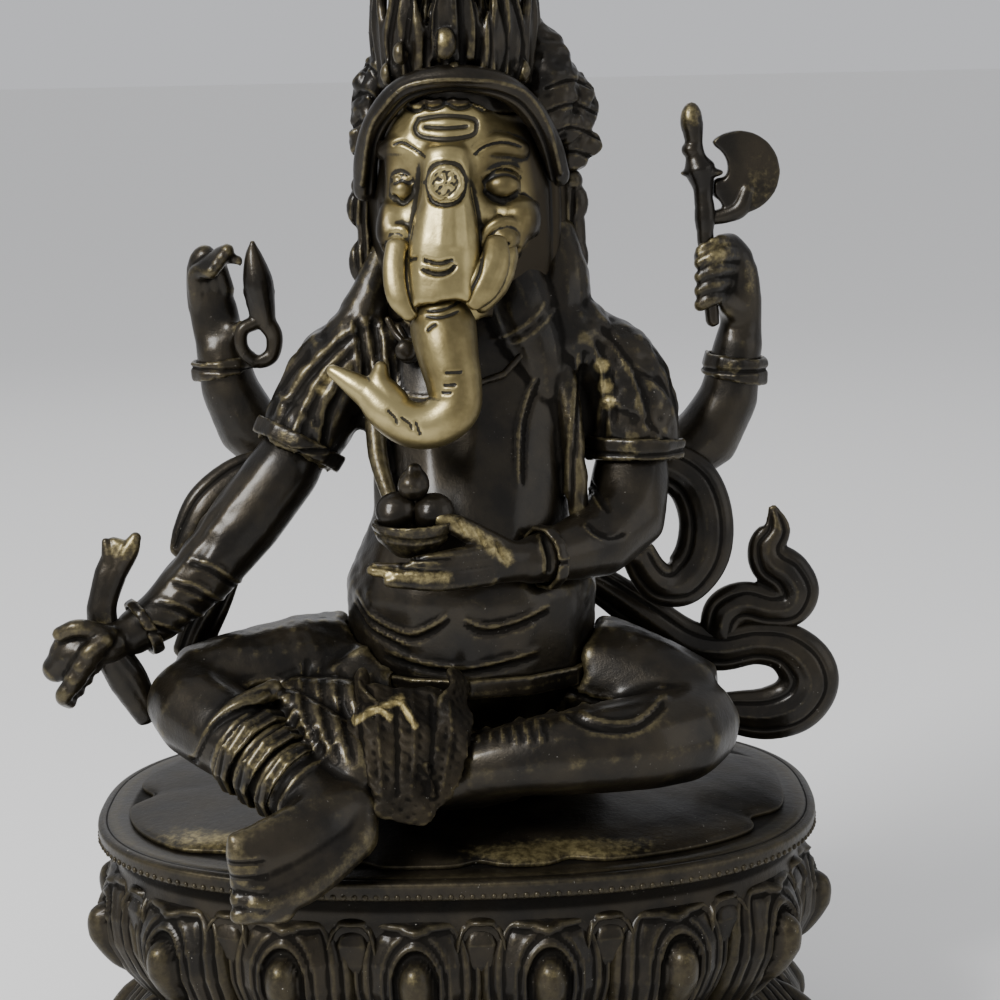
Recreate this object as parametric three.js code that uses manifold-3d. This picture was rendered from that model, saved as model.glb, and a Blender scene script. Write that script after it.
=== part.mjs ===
// Seated elephant-headed idol in cast bronze on an oval double-lotus pedestal.
// Units are millimetres, +Z is up, +X is the viewer's right and -Y faces the viewer.
// The origin is the middle of the pedestal's underside. "Right" and "left" in names are the figure's own.
// The figure is an assembly of separate castings that meet with a thin joint gap.
import * as THREE from "three";
import { mergeVertices } from "three/addons/utils/BufferGeometryUtils.js";
import Module from "manifold-3d";

const wasm = await Module();
wasm.setup();

// ---------------------------------------------------------------- driving sizes
const GAP = 0.3; // joint gap between two castings

const base = {
  halfWidth: 110,
  halfDepth: 80,
  height: 96,
  squareness: 2.5, // 2 is an ellipse, more is squarer
  wall: 6,
  top: 6,
  footBand: 5,
  waist: 41, // height of the narrowest ring
  waistInset: 16,
  petals: 17,
  petalPhase: 0.23, // share of one petal that the ring of petals is turned by
  petalReach: 6, // how far a petal's belly stands past the rim
  petalRelief: 3.2,
  rimBand: 8,
};
const plate = { thickness: 1.2 };
const cushion = { inset: 10, edge: 2.6, crown: 8.5 };
const seatForward = 8; // the figure sits this far in front of the pedestal's middle
const tang = { x: 24, y: 8, radius: 6, above: 12, below: 12 }; // reach over the cushion and under the top
const wedge = { radius: 1.6, length: 26 };

const band = { thickness: 1.8 }; // bangles, armbands and anklets
const belt = { bottom: 43, top: 49, thickness: 2 };
const necklace = { wire: 1.4 };
const pendant = { radius: 4, thickness: 2.5 };
const roundel = { radius: 5.2, thickness: 2.4 };
const bowl = { radius: 12, depth: 10, wall: 1.6, foot: 5 };
const sweet = { radius: 5.8, topRadius: 4.2 };
const axe = { shaft: 2.7, bladeThickness: 4 };
const crown = { height: 50, halfWidth: 23, halfDepth: 22, leafHeight: 38, leaves: 5 };
const finial = { radius: 7, height: 13 };

// ---------------------------------------------------------------- limbs of the figure
// Each row is x, y, z, half width and half depth, with z counted from the pedestal's top.
const figure = {
  thighRight: [[-6, 2, 41, 22, 22], [-45, -14, 49, 14, 16], [-77, -24, 43.5, 13, 14]],
  shinRight: [
    [-78, -25, 43, 12.5, 12.5], [-73, -36, 40, 13.6], [-59, -48, 34.5, 12.8], [-45, -59, 26, 10.5],
    [-34, -66, 20, 9],
  ],
  footRight: [
    [-25, -63, 22, 7, 6], [-34, -71, 18, 10.5, 7.5], [-46, -79, 13, 11, 6.5], [-59, -85, 10.5, 10, 4.5],
  ],
  thighLeft: [[8, 2, 42, 22, 22], [45, -10, 43, 17, 18], [71, -20, 32, 16.5, 17]],
  shinLeft: [
    [72, -20, 31, 14, 14], [66, -34, 30, 14.5], [44, -45, 30, 13.5], [22, -50, 29, 11.5],
    [4, -50, 26, 9.5],
  ],
  footLeft: [[14, -50, 25, 9, 8], [0, -50, 23, 8, 8], [-14, -49, 20, 7, 6]],
  pelvis: [[5, 8, 10, 42, 34], [5, 6, 30, 44, 34], [5, 2, 52, 36, 30]],
  skirtFront: [[3, -4, 30, 46, 24], [-7, -30, 27, 42, 15], [-7, -46, 17, 30, 8]],
  trunkOfBody: [
    [5, 2, 36, 30, 26], [6, -5, 50, 37, 33], [6, -7, 71, 38, 34], [6.5, -5, 90, 29.5, 28],
    [8, -1, 108, 31, 24], [8, 2, 126, 34, 21], [7, 4, 143, 28, 18], [7, 4, 153, 20, 15],
  ],
  sleeveRight: [
    [-16, 3, 142, 12, 13], [-31, 1, 135, 14, 14], [-39, -1, 122, 13.8, 13.8], [-46, -4, 109, 12.6, 12.6],
  ],
  sleeveLeft: [
    [32, 4, 142, 12, 13], [49, 3, 134, 14, 14], [55, 1, 121, 14.3, 14.3], [55, -1, 105, 13.4, 13.4],
  ],
  armFrontRight: [
    [-43, -2, 114, 9.5], [-48, -5, 106, 11], [-60, -9, 91, 11.3], [-72, -14, 77, 10],
    [-85, -21, 65.5, 7.8], [-95, -26, 60, 6.4],
  ],
  handFrontRight: [
    [-93, -26, 61, 6, 5], [-101, -29, 60, 6.8, 6], [-109, -31, 57.5, 7.8, 5], [-113, -32, 51, 4.6, 3.4],
  ],
  armFrontLeft: [
    [55, 0, 111, 10], [54, -3, 101, 12], [52, -10, 90, 12.5], [43, -20, 84.5, 11], [32, -30, 83.5, 8.4],
    [22, -38, 83, 6.8],
  ],
  handFrontLeft: [
    [24, -37, 83, 6.2, 5.4], [14, -43, 84, 6.5, 4.5], [4, -47, 83.5, 5, 3.4], [-8, -51, 83.5, 3, 3],
    [-22, -51, 84.5, 2.4, 2.6],
  ],
  armBackRight: [
    [-34, 14, 122, 8], [-43, 20, 109, 10], [-52, 23, 104.5, 10.6], [-61.5, 24, 114, 10.4],
    [-67, 24, 126, 9.1], [-69.5, 24, 140, 7.8],
  ],
  handBackRight: [
    [-69.4, 24, 138, 7.2, 6.6], [-70, 24, 145, 8, 5.5], [-72, 24, 155, 7.4, 5], [-73, 24, 165, 5.6, 4],
    [-72, 23, 169, 3, 3],
  ],
  armBackLeft: [
    [52, 14, 116, 8], [60, 20, 104, 10], [69, 24, 101, 10.5], [79.5, 25, 108, 10.8], [86, 25, 120, 9.4],
    [89.5, 25, 139, 7.4],
  ],
  handBackLeft: [
    [89.5, 25, 136, 6.8, 6.4], [89.8, 25, 142, 6.6, 5.5], [88.9, 24, 153, 7.4, 5],
    [87.5, 23, 163, 6, 4.4], [84, 21, 168.5, 4, 4],
  ],
  cranium: [
    [8, 4, 150, 27, 18], [7, 3, 168, 28, 23], [6, 1, 186, 28, 26], [5, 0, 203, 25, 24],
    [5, 0, 214, 17, 17],
  ],
  face: [
    [1, -16, 160, 13, 14], [2, -17, 172, 18, 14], [2.5, -17, 186, 20, 13], [2.5, -16, 201, 19, 11],
    [3, -14, 211, 13, 8],
  ],
  snout: [
    [2, -25, 198, 7.5, 7], [2, -30, 186, 8.5, 7.5], [1, -34, 172, 10.5, 7.5], [0.4, -36, 160, 10.6, 7],
    [0.2, -37, 155, 10, 6.6],
  ],
  trunk: [
    [0.3, -37.5, 155, 9.6, 7], [1.2, -40, 146, 8.7, 7.4], [3.4, -42, 136, 7.8, 7.2],
    [3.4, -44, 128, 7.2, 6.8],
    [-3.5, -45, 123.5, 6.9, 6.4], [-12.5, -45, 125.5, 6.4, 6], [-20, -44, 132, 5, 5],
  ],
  trunkTipOuter: [[-18, -44, 130.5, 4.4, 4], [-24, -43, 134.5, 2.8, 2.8], [-30, -42, 138.5, 1.6, 1.6]],
  trunkTipInner: [[-17, -44, 130, 4, 4], [-18.6, -43, 134.5, 2.4, 2.4], [-17.4, -42, 139, 1.5, 1.5]],
  tuskRight: [
    [-11.5, -24, 177, 3, 3], [-13, -30, 168, 3.6, 3.6], [-12, -34.5, 160, 3.6, 3.6],
    [-9.5, -37, 154, 2.4, 2.6],
  ],
  tuskLeft: [
    [17, -24, 177, 3, 3], [18, -29, 169, 4, 4], [15, -34, 161, 3.9, 3.9], [10, -36.5, 155, 2.4, 2.6],
  ],
  earRight: [[-17, 1, 193, 4, 4], [-19.5, 2, 183, 5, 4], [-19.5, 3, 170, 6, 4], [-16, 3, 156, 5, 4]],
  earLeft: [[33, 3, 193, 4, 4], [36, 4, 183, 5, 4], [36.5, 5, 170, 6, 4], [36.5, 5, 156, 5, 4]],
  crownBand: [
    [-22, -6, 188, 3.6, 4], [-20, -14, 203, 3.6, 4], [-11.5, -20, 215, 3.6, 4], [4, -23, 218.5, 3.6, 4],
    [19.5, -20, 215, 3.6, 4], [29, -14, 205, 3.6, 4], [34, -6, 190, 3.6, 4],
  ],
  necklace: [
    [-14, -7.5, 148], [-10, -12.5, 141], [-3, -16.5, 135], [7, -18.8, 131], [17, -17.5, 134],
    [24, -14, 141], [28, -9, 148],
  ],
  crownSideRight: [
    [-17, 3, 193, 3, 4], [-21.5, 3, 203, 4.4, 4], [-21, 3, 214, 4.4, 4], [-19, 3, 224, 2, 3],
  ],
  crownSideLeft: [[33, 4, 193, 4, 4], [38.5, 5, 202, 5, 4.5], [40.5, 5, 209, 6, 4.5], [37, 5, 217, 5, 4]],
  radish: [
    [-94, -24, 88, 4.6, 2.6], [-99, -25, 79, 4.1, 3.6], [-101.4, -26, 69, 4.3, 4],
    [-101, -27, 59, 4.5, 4.2],
    [-95.6, -26, 47, 4.6, 4], [-89.5, -24, 35, 3.4, 3.2],
  ],
  noose: [
    [-57.5, 16, 169.5, 1.4, 1.4], [-57, 16, 165, 3.3, 2.6], [-56, 16, 156, 5, 3.4],
    [-55.4, 16, 149, 4, 3], [-52.2, 16, 142.5, 2.3, 2.1],
    [-52.8, 16, 137, 2.3, 2.1], [-58, 15.5, 134.6, 2.1, 2], [-61.6, 14.5, 138, 2, 2],
  ],
  scarfLoop: [
    [60, 13, 101, 5, 3], [73, 14, 95.5, 6.2, 3.4], [78, 12, 84, 6.8, 3.6], [76.6, 10, 72, 7.2, 3.6],
    [69.5, 7, 64, 6.6, 3.4],
    [61, 3, 68.5, 5.4, 3], [56, -1, 76, 4.6, 2.6],
  ],
  scarfTail: [
    [34, 15, 70, 4, 3], [47, 20, 62, 5, 3], [61, 21, 51, 6, 3.2], [76, 22, 40.5, 6.6, 3.4],
    [88, 22, 41, 6, 3.4], [98.5, 22, 42.6, 5.6, 3.2],
    [108.6, 22, 39, 7.2, 3.6], [112, 22, 30, 8, 3.8], [106, 22, 21, 7.6, 3.8], [94, 22, 19, 6.4, 3.4],
    [84, 21, 21, 5, 3],
  ],
  scarfCurl: [
    [82.5, 22, 47, 5.4, 3], [87.5, 22, 54.5, 5.4, 3.2], [98.5, 22, 53.5, 5, 3.2],
    [107.6, 22, 56, 5.6, 3.4], [105, 22, 63.5, 6, 3.4],
    [97.6, 22, 69, 6, 3.2], [100.6, 22, 78, 4.4, 2.6], [99.2, 22, 85, 2, 1.6],
  ],
  scarfRight: [[-57, 3, 105, 4, 3], [-71, 0, 95, 7, 3.4], [-79, -4, 82, 4.6, 3]],
  scarfRightEnd: [[-68, -5, 72, 4, 4], [-74, -4, 60, 5.6, 3.4], [-79, -4, 50, 6, 3.4]],
  lapCloth: [[-10, -44, 48, 15, 2], [-11, -55, 40, 18, 2], [-12, -64, 28, 15, 2], [-15, -69, 17, 8, 1.6]],
};

// Where along a limb each ring sits, as shares of the limb's length.
const rings = {
  armbandRight: { limb: "sleeveRight", from: 0.85, to: 0.97 },
  armbandLeft: { limb: "sleeveLeft", from: 0.85, to: 0.99 },
  braceletBackRight: { limb: "armBackRight", from: 0.86, to: 0.94 },
  braceletBackLeft: { limb: "armBackLeft", from: 0.86, to: 0.94 },
  braceletFrontRight: { limb: "armFrontRight", from: 0.86, to: 0.92 },
  braceletFrontLeft: { limb: "armFrontLeft", from: 0.86, to: 0.92 },
  anklet1: { limb: "shinRight", from: 0.54, to: 0.6 },
  anklet2: { limb: "shinRight", from: 0.63, to: 0.69 },
  anklet3: { limb: "shinRight", from: 0.72, to: 0.78 },
};

// ---------------------------------------------------------------- solids
function toSolid(geometry) {
  const bare = geometry.clone();
  bare.deleteAttribute("normal");
  bare.deleteAttribute("uv");
  const merged = mergeVertices(bare, 1e-4);
  return new wasm.Manifold(
    new wasm.Mesh({
      numProp: 3,
      vertProperties: new Float32Array(merged.attributes.position.array),
      triVerts: new Uint32Array(merged.index.array),
    }),
  );
}

function toGeometry(solid) {
  const mesh = solid.getMesh();
  const geometry = new THREE.BufferGeometry();
  geometry.setAttribute("position", new THREE.BufferAttribute(new Float32Array(mesh.vertProperties), 3));
  geometry.setIndex(new THREE.BufferAttribute(new Uint32Array(mesh.triVerts), 1));
  geometry.computeVertexNormals();
  return geometry;
}

const join = (...solids) => solids.reduce((sum, solid) => sum.add(solid));
const cut = (solid, ...tools) => tools.reduce((rest, tool) => rest.subtract(tool), solid);

// A cut can leave crumbs beside the casting itself, which is the largest piece.
function casting(solid) {
  const pieces = solid.decompose();
  return pieces.reduce((best, piece) => (piece.volume() > best.volume() ? piece : best));
}

// Oval outline with points spaced evenly along its length by getPointAt.
class Oval extends THREE.Curve {
  constructor(halfWidth, halfDepth) {
    super();
    this.halfWidth = halfWidth;
    this.halfDepth = halfDepth;
    this.arcLengthDivisions = 400;
  }
  getPoint(share) {
    const angle = share * 2 * Math.PI;
    const c = Math.cos(angle);
    const s = Math.sin(angle);
    const n = base.squareness;
    const reach = Math.pow(Math.abs(c / this.halfWidth) ** n + Math.abs(s / this.halfDepth) ** n, -1 / n);
    return new THREE.Vector3(reach * c, reach * s, 0);
  }
}

function ovalPoints(inset, count, phase = 0) {
  const oval = new Oval(base.halfWidth - inset, base.halfDepth - inset);
  return Array.from({ length: count }, (_, i) => oval.getPointAt((((i + phase) / count) % 1 + 1) % 1));
}

// Solid of revolution pushed out to the oval. Each row is height, inset from the rim and petal relief;
// a null inset is a point on the axis.
function ovalTurned(rows, sides, { petals = 0, phase = 0, shift = 0 } = {}) {
  const profile = rows.map((row, i) => new THREE.Vector2(row.inset === null ? 0 : 1 + i, i));
  const lathe = new THREE.LatheGeometry(profile, sides);
  const position = lathe.attributes.position;
  const turn = phase * (sides / (petals || 1));
  const outlines = rows.map(({ inset }) => (inset === null ? null : ovalPoints(inset, sides, turn)));
  const point = new THREE.Vector3();
  for (let side = 0; side <= sides; side += 1) {
    rows.forEach((row, i) => {
      const vertex = side * rows.length + i;
      if (row.inset === null) {
        position.setXYZ(vertex, 0, shift, row.z);
        return;
      }
      const share = ((side % sides) / sides) * petals;
      const lobe = (row.relief ?? 0) * Math.abs(Math.cos(Math.PI * share)) ** 0.6;
      point.copy(outlines[i][side % sides]);
      const grow = 1 + lobe / point.length();
      position.setXYZ(vertex, point.x * grow, point.y * grow + shift, row.z);
    });
  }
  const solid = toSolid(lathe);
  return solid.volume() > 0 ? solid : toSolid(flipped(lathe));
}

function flipped(geometry) {
  const copy = geometry.clone();
  const index = Array.from(copy.index.array);
  for (let i = 0; i < index.length; i += 3) [index[i + 1], index[i + 2]] = [index[i + 2], index[i + 1]];
  copy.setIndex(index);
  return copy;
}

// A round or oval bar along a smooth curve through the rows of a limb, with domed ends.
function limb(
  rows,
  {
    grow = 0, sides = 10, steps = rows.length > 5 ? 1 : 2, from = 0, to = 1, dome = 0.5, lengthen = grow,
  } = {},
) {
  const path = new THREE.CatmullRomCurve3(rows.map((row) => new THREE.Vector3(row[0], row[1], row[2])));
  const sizes = new THREE.CatmullRomCurve3(rows.map((row) => new THREE.Vector3(row[3], row[4] ?? row[3], 0)));
  const count = Math.max(1, Math.round((rows.length - 1) * steps * (to - from)));
  const bar = new THREE.CylinderGeometry(1, 1, 1, sides, count, false);
  const position = bar.attributes.position;
  const across = new THREE.Vector3();
  const depth = new THREE.Vector3();
  const backward = new THREE.Vector3(0, 1, 0);
  for (let i = 0; i < position.count; i += 1) {
    const [x, y, z] = [position.getX(i), position.getY(i), position.getZ(i)];
    const share = from + (y + 0.5) * (to - from);
    const place = path.getPoint(share);
    const tangent = path.getTangent(share);
    const size = sizes.getPoint(share);
    across.crossVectors(tangent, backward).normalize();
    depth.crossVectors(across, tangent);
    const isCapCentre = x === 0 && z === 0;
    const end = y > 0.4999 ? 1 : y < -0.4999 ? -1 : 0;
    const push = end * (lengthen + (isCapCentre ? dome * Math.min(size.x, size.y) : 0));
    place.addScaledVector(across, x * (size.x + grow));
    place.addScaledVector(depth, z * (size.y + grow));
    place.addScaledVector(tangent, push);
    position.setXYZ(i, place.x, place.y, place.z);
  }
  return toSolid(bar);
}

const part = (name, grow = 0, options = {}) => limb(figure[name], { grow, ...options });

// A flat-ended ring round a limb, clear of it by the joint gap; a cutting tool for neighbours has no bore.
function ringTool(key, grow = 0) {
  const { limb: name, from, to } = rings[key];
  const outside = GAP + band.thickness + grow;
  return limb(figure[name], { grow: outside, from, to, steps: 1, dome: 0, lengthen: grow });
}

const makeRing = (key) => cut(ringTool(key), part(rings[key].limb, GAP, { lengthen: band.thickness }));

const ringShape = (key) => (grow) => ringTool(key, grow);

function ball(radius, [x, y, z], detail = 12, squash = 1) {
  const sphere = new THREE.SphereGeometry(radius, detail, Math.round(detail / 2));
  sphere.scale(1, 1, squash).translate(x, y, z);
  return toSolid(sphere);
}

// A round bar from its middle point along an axis: x, y or z.
function rod(radius, length, [x, y, z], axis = "z", sides = 16) {
  const cylinder = new THREE.CylinderGeometry(radius, radius, length, sides);
  if (axis === "z") cylinder.rotateX(Math.PI / 2);
  if (axis === "x") cylinder.rotateZ(Math.PI / 2);
  cylinder.translate(x, y, z);
  return toSolid(cylinder);
}

function slab(bottom, top) {
  const side = 4 * base.halfWidth;
  const box = new THREE.BoxGeometry(side, side, top - bottom);
  box.translate(0, 0, (bottom + top) / 2);
  return toSolid(box);
}

function turned(profile, [x, y, z], sides = 20) {
  const lathe = new THREE.LatheGeometry(profile.map(([r, h]) => new THREE.Vector2(r, h)), sides);
  lathe.rotateX(Math.PI / 2).translate(x, y, z);
  return toSolid(lathe);
}

// ---------------------------------------------------------------- pedestal, in the part's own frame
function makePedestal() {
  const { height, wall, top, footBand, waist, waistInset, petalReach, petalRelief, rimBand } = base;
  const upperFoot = waist + 5;
  const rimBottom = height - rimBand;
  const rows = [
    { z: height, inset: null },
    { z: height, inset: cushion.inset + 1 },
    { z: height - 2, inset: 2.5 },
    { z: height - rimBand * 0.4, inset: 0 },
    { z: height - rimBand * 0.85, inset: 0 },
    { z: rimBottom, inset: 4 },
    { z: rimBottom - 6, inset: petalRelief, relief: petalRelief },
    { z: upperFoot + (rimBottom - upperFoot) * 0.6, inset: petalRelief * 0.6, relief: petalRelief },
    { z: upperFoot + (rimBottom - upperFoot) * 0.36, inset: petalRelief - petalReach, relief: petalRelief },
    { z: upperFoot + 5, inset: waistInset * 0.45, relief: petalRelief },
    { z: upperFoot, inset: waistInset },
    { z: waist - 5, inset: waistInset },
    { z: waist - 9, inset: waistInset * 0.4, relief: petalRelief },
    { z: footBand + (waist - footBand) * 0.35, inset: -petalReach + petalRelief, relief: petalRelief },
    { z: footBand + 1, inset: -petalReach + petalRelief + 2, relief: petalRelief },
    { z: footBand, inset: -petalReach },
    { z: 0, inset: -petalReach },
    { z: 0, inset: wall },
    { z: plate.thickness + GAP, inset: wall },
    { z: waist - 6, inset: wall },
    { z: waist - 3, inset: waistInset + wall },
    { z: upperFoot + 4, inset: waistInset + wall },
    { z: height - top, inset: waistInset + wall },
    { z: height - top, inset: null },
  ];
  const shell = ovalTurned(rows, base.petals * 4, { petals: base.petals, phase: base.petalPhase });
  return casting(cut(shell, ...tangHoles()));
}

function makePlate() {
  const outline = new THREE.Shape(ovalPoints(base.wall + GAP, 60).map((p) => new THREE.Vector2(p.x, p.y)));
  return toSolid(new THREE.ExtrudeGeometry(outline, { depth: plate.thickness, bevelEnabled: false }));
}

// Holes for the figure's two tangs, through the pedestal's top and the cushion.
function tangHoles() {
  const bottom = base.height - base.top - 2 * GAP;
  const top = base.height + cushion.crown + 2;
  return [-1, 1].map((side) =>
    rod(tang.radius + GAP, top - bottom, [side * tang.x, tang.y - seatForward, (top + bottom) / 2]),
  );
}

function makeCushion() {
  const bottom = base.height + GAP;
  const rows = [
    { z: bottom + cushion.crown, inset: null },
    { z: bottom + cushion.crown * 0.9, inset: cushion.inset + 34 },
    { z: bottom + cushion.crown * 0.65, inset: cushion.inset + 14 },
    { z: bottom + cushion.edge, inset: cushion.inset + 1.5 },
    { z: bottom + cushion.edge / 2, inset: cushion.inset },
    { z: bottom, inset: cushion.inset + 1 },
    { z: bottom, inset: null },
  ];
  return casting(cut(ovalTurned(rows, 40), ...tangHoles()));
}

// The same dome with the joint gap added, in the figure's frame, for what rests on it.
function cushionTool() {
  const rows = [
    { z: cushion.crown + 2 * GAP, inset: null },
    { z: cushion.crown * 0.9 + 2 * GAP, inset: cushion.inset + 34 },
    { z: cushion.crown * 0.65 + 2 * GAP, inset: cushion.inset + 14 },
    { z: cushion.edge + 2 * GAP, inset: cushion.inset + 1.5 - GAP },
    { z: cushion.edge / 2 + 2 * GAP, inset: cushion.inset - GAP },
    { z: -base.height, inset: cushion.inset - GAP },
    { z: -base.height, inset: null },
  ];
  return ovalTurned(rows, 40, { shift: seatForward });
}

// ---------------------------------------------------------------- figure, in the frame of the pedestal's top
const wedgeHeight = -base.top - GAP - wedge.radius - GAP;

const tangs = () =>
  [-1, 1].map((side) => {
    const top = cushion.crown + tang.above;
    const bottom = -base.top - tang.below;
    return rod(tang.radius, top - bottom, [side * tang.x, tang.y, (top + bottom) / 2]);
  });

const belly = (grow) => part("trunkOfBody", grow, { sides: 14, steps: 1 });

// A thin branch of a casting, such as a finger.
const branch = (rows, grow) => limb(rows, { grow, sides: 8 });

const legLimbs = [
  "pelvis", "skirtFront", "thighRight", "shinRight", "footRight", "thighLeft", "shinLeft", "footLeft",
];

const shapes = {
  lowerBody: (grow = 0) => join(...legLimbs.map((name) => part(name, grow))),
  torso: (grow = 0) =>
    join(belly(grow), part("sleeveRight", grow), part("sleeveLeft", grow)),
  armFrontRight: (grow = 0) => join(part("armFrontRight", grow), part("handFrontRight", grow)),
  armFrontLeft: (grow = 0) => join(part("armFrontLeft", grow), part("handFrontLeft", grow)),
  armBackRight: (grow = 0) =>
    join(
      part("armBackRight", grow),
      part("handBackRight", grow),
      branch([[-70, 22, 161, 2.2], [-67, 18, 166, 2.2], [-61, 16, 165.4, 2], [-58.6, 16, 162, 1.8]], grow),
      branch([[-68, 22, 142, 3], [-64, 19, 144, 2.4], [-60.5, 17, 147, 2]], grow),
    ),
  armBackLeft: (grow = 0) =>
    join(
      part("armBackLeft", grow),
      part("handBackLeft", grow),
      branch([[87, 21, 166, 3], [82, 17, 168.4, 3], [77.6, 16, 166.6, 2.8], [76, 17, 162, 2.4]], grow),
      branch([[88, 21, 146, 3.2], [82.6, 18, 150, 2.8], [79.5, 18, 155, 2.4]], grow),
    ),
  head: (grow = 0) =>
    join(
      part("cranium", grow, { sides: 12, steps: 1 }),
      part("face", grow, { steps: 1 }),
      part("snout", grow, { steps: 1 }),
      branch([[-12, -22, 184, 5], [-14, -24, 176, 5], [-9, -30, 164, 4]], grow),
      branch([[18, -22, 184, 6], [20, -23, 175, 6], [11, -30, 164, 4.4]], grow),
    ),
  trunk: (grow = 0) =>
    join(part("trunk", grow), branch(figure.trunkTipOuter, grow), branch(figure.trunkTipInner, grow)),
};

const single = (name, options) => (grow = 0) => part(name, grow, options);
Object.assign(shapes, {
  tuskRight: single("tuskRight", { sides: 8 }),
  tuskLeft: single("tuskLeft", { sides: 8 }),
  earRight: single("earRight"),
  earLeft: single("earLeft"),
  crownBand: single("crownBand", { sides: 8, steps: 1 }),
  crownSideRight: single("crownSideRight", { sides: 8 }),
  crownSideLeft: single("crownSideLeft", { sides: 8 }),
  noose: single("noose", { sides: 8 }),
  radish: single("radish", { sides: 10 }),
  scarfLoop: single("scarfLoop", { sides: 8 }),
  scarfTail: single("scarfTail", { sides: 8 }),
  scarfCurl: single("scarfCurl", { sides: 8 }),
  scarfRight: single("scarfRight", { sides: 8 }),
  scarfRightEnd: single("scarfRightEnd", { sides: 8 }),
  lapCloth: single("lapCloth", { sides: 12, dome: 0 }),
});

const crownFoot = 208;
const crownMiddle = [5, 1];

shapes.crown = (grow = 0) => {
  const [x, y] = crownMiddle;
  const top = crownFoot + crown.height;
  const { halfWidth, halfDepth, height } = crown;
  const wide = (share) => [halfWidth * share, halfDepth * share];
  return limb(
    [
      [x, y, crownFoot, ...wide(0.93)],
      [x, y, crownFoot + height * 0.3, ...wide(0.95)],
      [x, y + 1, crownFoot + height * 0.62, ...wide(0.72)],
      [x, y + 1, crownFoot + height * 0.85, ...wide(0.42)],
      [x, y + 1, top, ...wide(0.26)],
    ],
    { grow, sides: 14, steps: 1, dome: 0.2 },
  );
};

// The leaves stand in an arc round the front of the crown.
function crownLeaf(index, grow = 0) {
  const angle = (index - (crown.leaves - 1) / 2) * (Math.PI / crown.leaves) * 0.98;
  const [x, y] = crownMiddle;
  const at = (share, out) => [
    x + Math.sin(angle) * crown.halfWidth * out,
    y - Math.cos(angle) * crown.halfDepth * out,
    crownFoot + 7 + crown.leafHeight * share,
  ];
  const rows = [
    [...at(0, 0.98), 5, 2.6],
    [...at(0.3, 1.08), 7, 2.6],
    [...at(0.65, 1), 5.6, 2.4],
    [...at(1, 0.86), 1.4, 1.4],
  ];
  return branch(rows, grow);
}

shapes.finial = (grow = 0) => {
  const [x, y] = crownMiddle;
  const foot = crownFoot + crown.height + crown.halfDepth * 0.26 * 0.2 + 2 * GAP;
  const { radius, height } = finial;
  return turned(
    [
      [0, -grow],
      [radius * 0.5 + grow, -grow],
      [radius + grow, height * 0.25],
      [radius * 0.8 + grow, height * 0.5],
      [radius * 0.35 + grow, height * 0.75], [0, height + grow],
    ],
    [x, y + 1, foot],
    12,
  );
};

const bowlMiddle = [-9.5, -45, 97 - bowl.depth];

function bowlProfile(grow) {
  const { radius, depth, foot } = bowl;
  return [
    [0, -grow],
    [foot + grow, -grow],
    [radius * 0.85 + grow, depth * 0.5],
    [radius + grow, depth + grow],
  ];
}

const bowlOuter = (grow) => turned([...bowlProfile(grow), [0, bowl.depth + grow]], bowlMiddle);

function makeBowl() {
  const { radius, depth, wall, foot } = bowl;
  const hollow = turned(
    [
      [0, wall],
      [foot - wall, wall],
      [radius * 0.85 - wall, depth * 0.5 + wall],
      [radius - wall, depth + 1],
      [0, depth + 1],
    ],
    bowlMiddle,
  );
  return cut(bowlOuter(0), hollow);
}

// Two sweets lie side by side in the bowl and one stands on them, each a joint gap from the next.
function sweets() {
  const [x, y, z] = bowlMiddle;
  const inside = bowl.radius - bowl.wall;
  const spread = Math.min(inside / 2, sweet.radius + GAP);
  const side = Math.min(sweet.radius, spread - GAP / 2);
  const low = z + bowl.depth + side * 0.3;
  const rise = Math.sqrt((side + sweet.topRadius + 2 * GAP) ** 2 - spread ** 2);
  return [
    ball(side, [x - spread, y, low]),
    ball(side, [x + spread, y, low]),
    join(
      ball(sweet.topRadius, [x, y, low + rise]),
      turned([[0, 0], [1.6, 0.4], [1.2, 2], [0, 3]], [x, y, low + rise + sweet.topRadius * 0.9], 8),
    ),
  ];
}

function makeAxeHandle() {
  const r = axe.shaft;
  const rows = [
    [80.6, 18, 143, r * 0.8], [79.4, 18, 156, r], [78.4, 18, 170, r],
    [77.8, 18, 184, r * 1.15], [76.8, 18, 190, r * 1.9],
    [75.6, 18, 193, r * 1.2], [75.2, 18, 197, r], [74.6, 18, 203.5, r * 1.35], [74.2, 18, 209, r * 0.35],
  ];
  return (grow = 0) => limb(rows, { grow, sides: 10 });
}
shapes.axeHandle = makeAxeHandle();

// Crescent blade: an outer arc and an inner arc that meet at the two horns, on a short neck.
shapes.axeBlade = (grow = 0) => {
  const outline = new THREE.Shape();
  outline.absarc(0, 0, 12.4 + grow, -1.9, 2.25, false);
  outline.absarc(-10.6, 1.2, 7.4 - grow, 1.15, -1.1, true);
  outline.closePath();
  const thickness = axe.bladeThickness + 2 * grow;
  const options = { depth: thickness, bevelEnabled: false, curveSegments: 12 };
  const blade = new THREE.ExtrudeGeometry(outline, options);
  blade.translate(0, 0, -thickness / 2).rotateX(Math.PI / 2).translate(88.5, 19.5, 188.5);
  const neck = branch([[77.5, 18.6, 184, 3, 2], [84, 19.4, 184, 3.4, 2], [92, 19.5, 185, 4, 1.6]], grow);
  return join(toSolid(blade), neck);
};

shapes.necklace = (grow = 0) =>
  limb(figure.necklace.map((row) => [...row, necklace.wire]), { grow, sides: 6 });

function makeBelt() {
  const outer = belly(GAP + belt.thickness).intersect(slab(belt.bottom, belt.top));
  return cut(outer, belly(GAP));
}

function disc(radius, thickness, [x, y, z]) {
  return rod(radius, thickness, [x, y, z], "y", 20);
}

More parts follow.
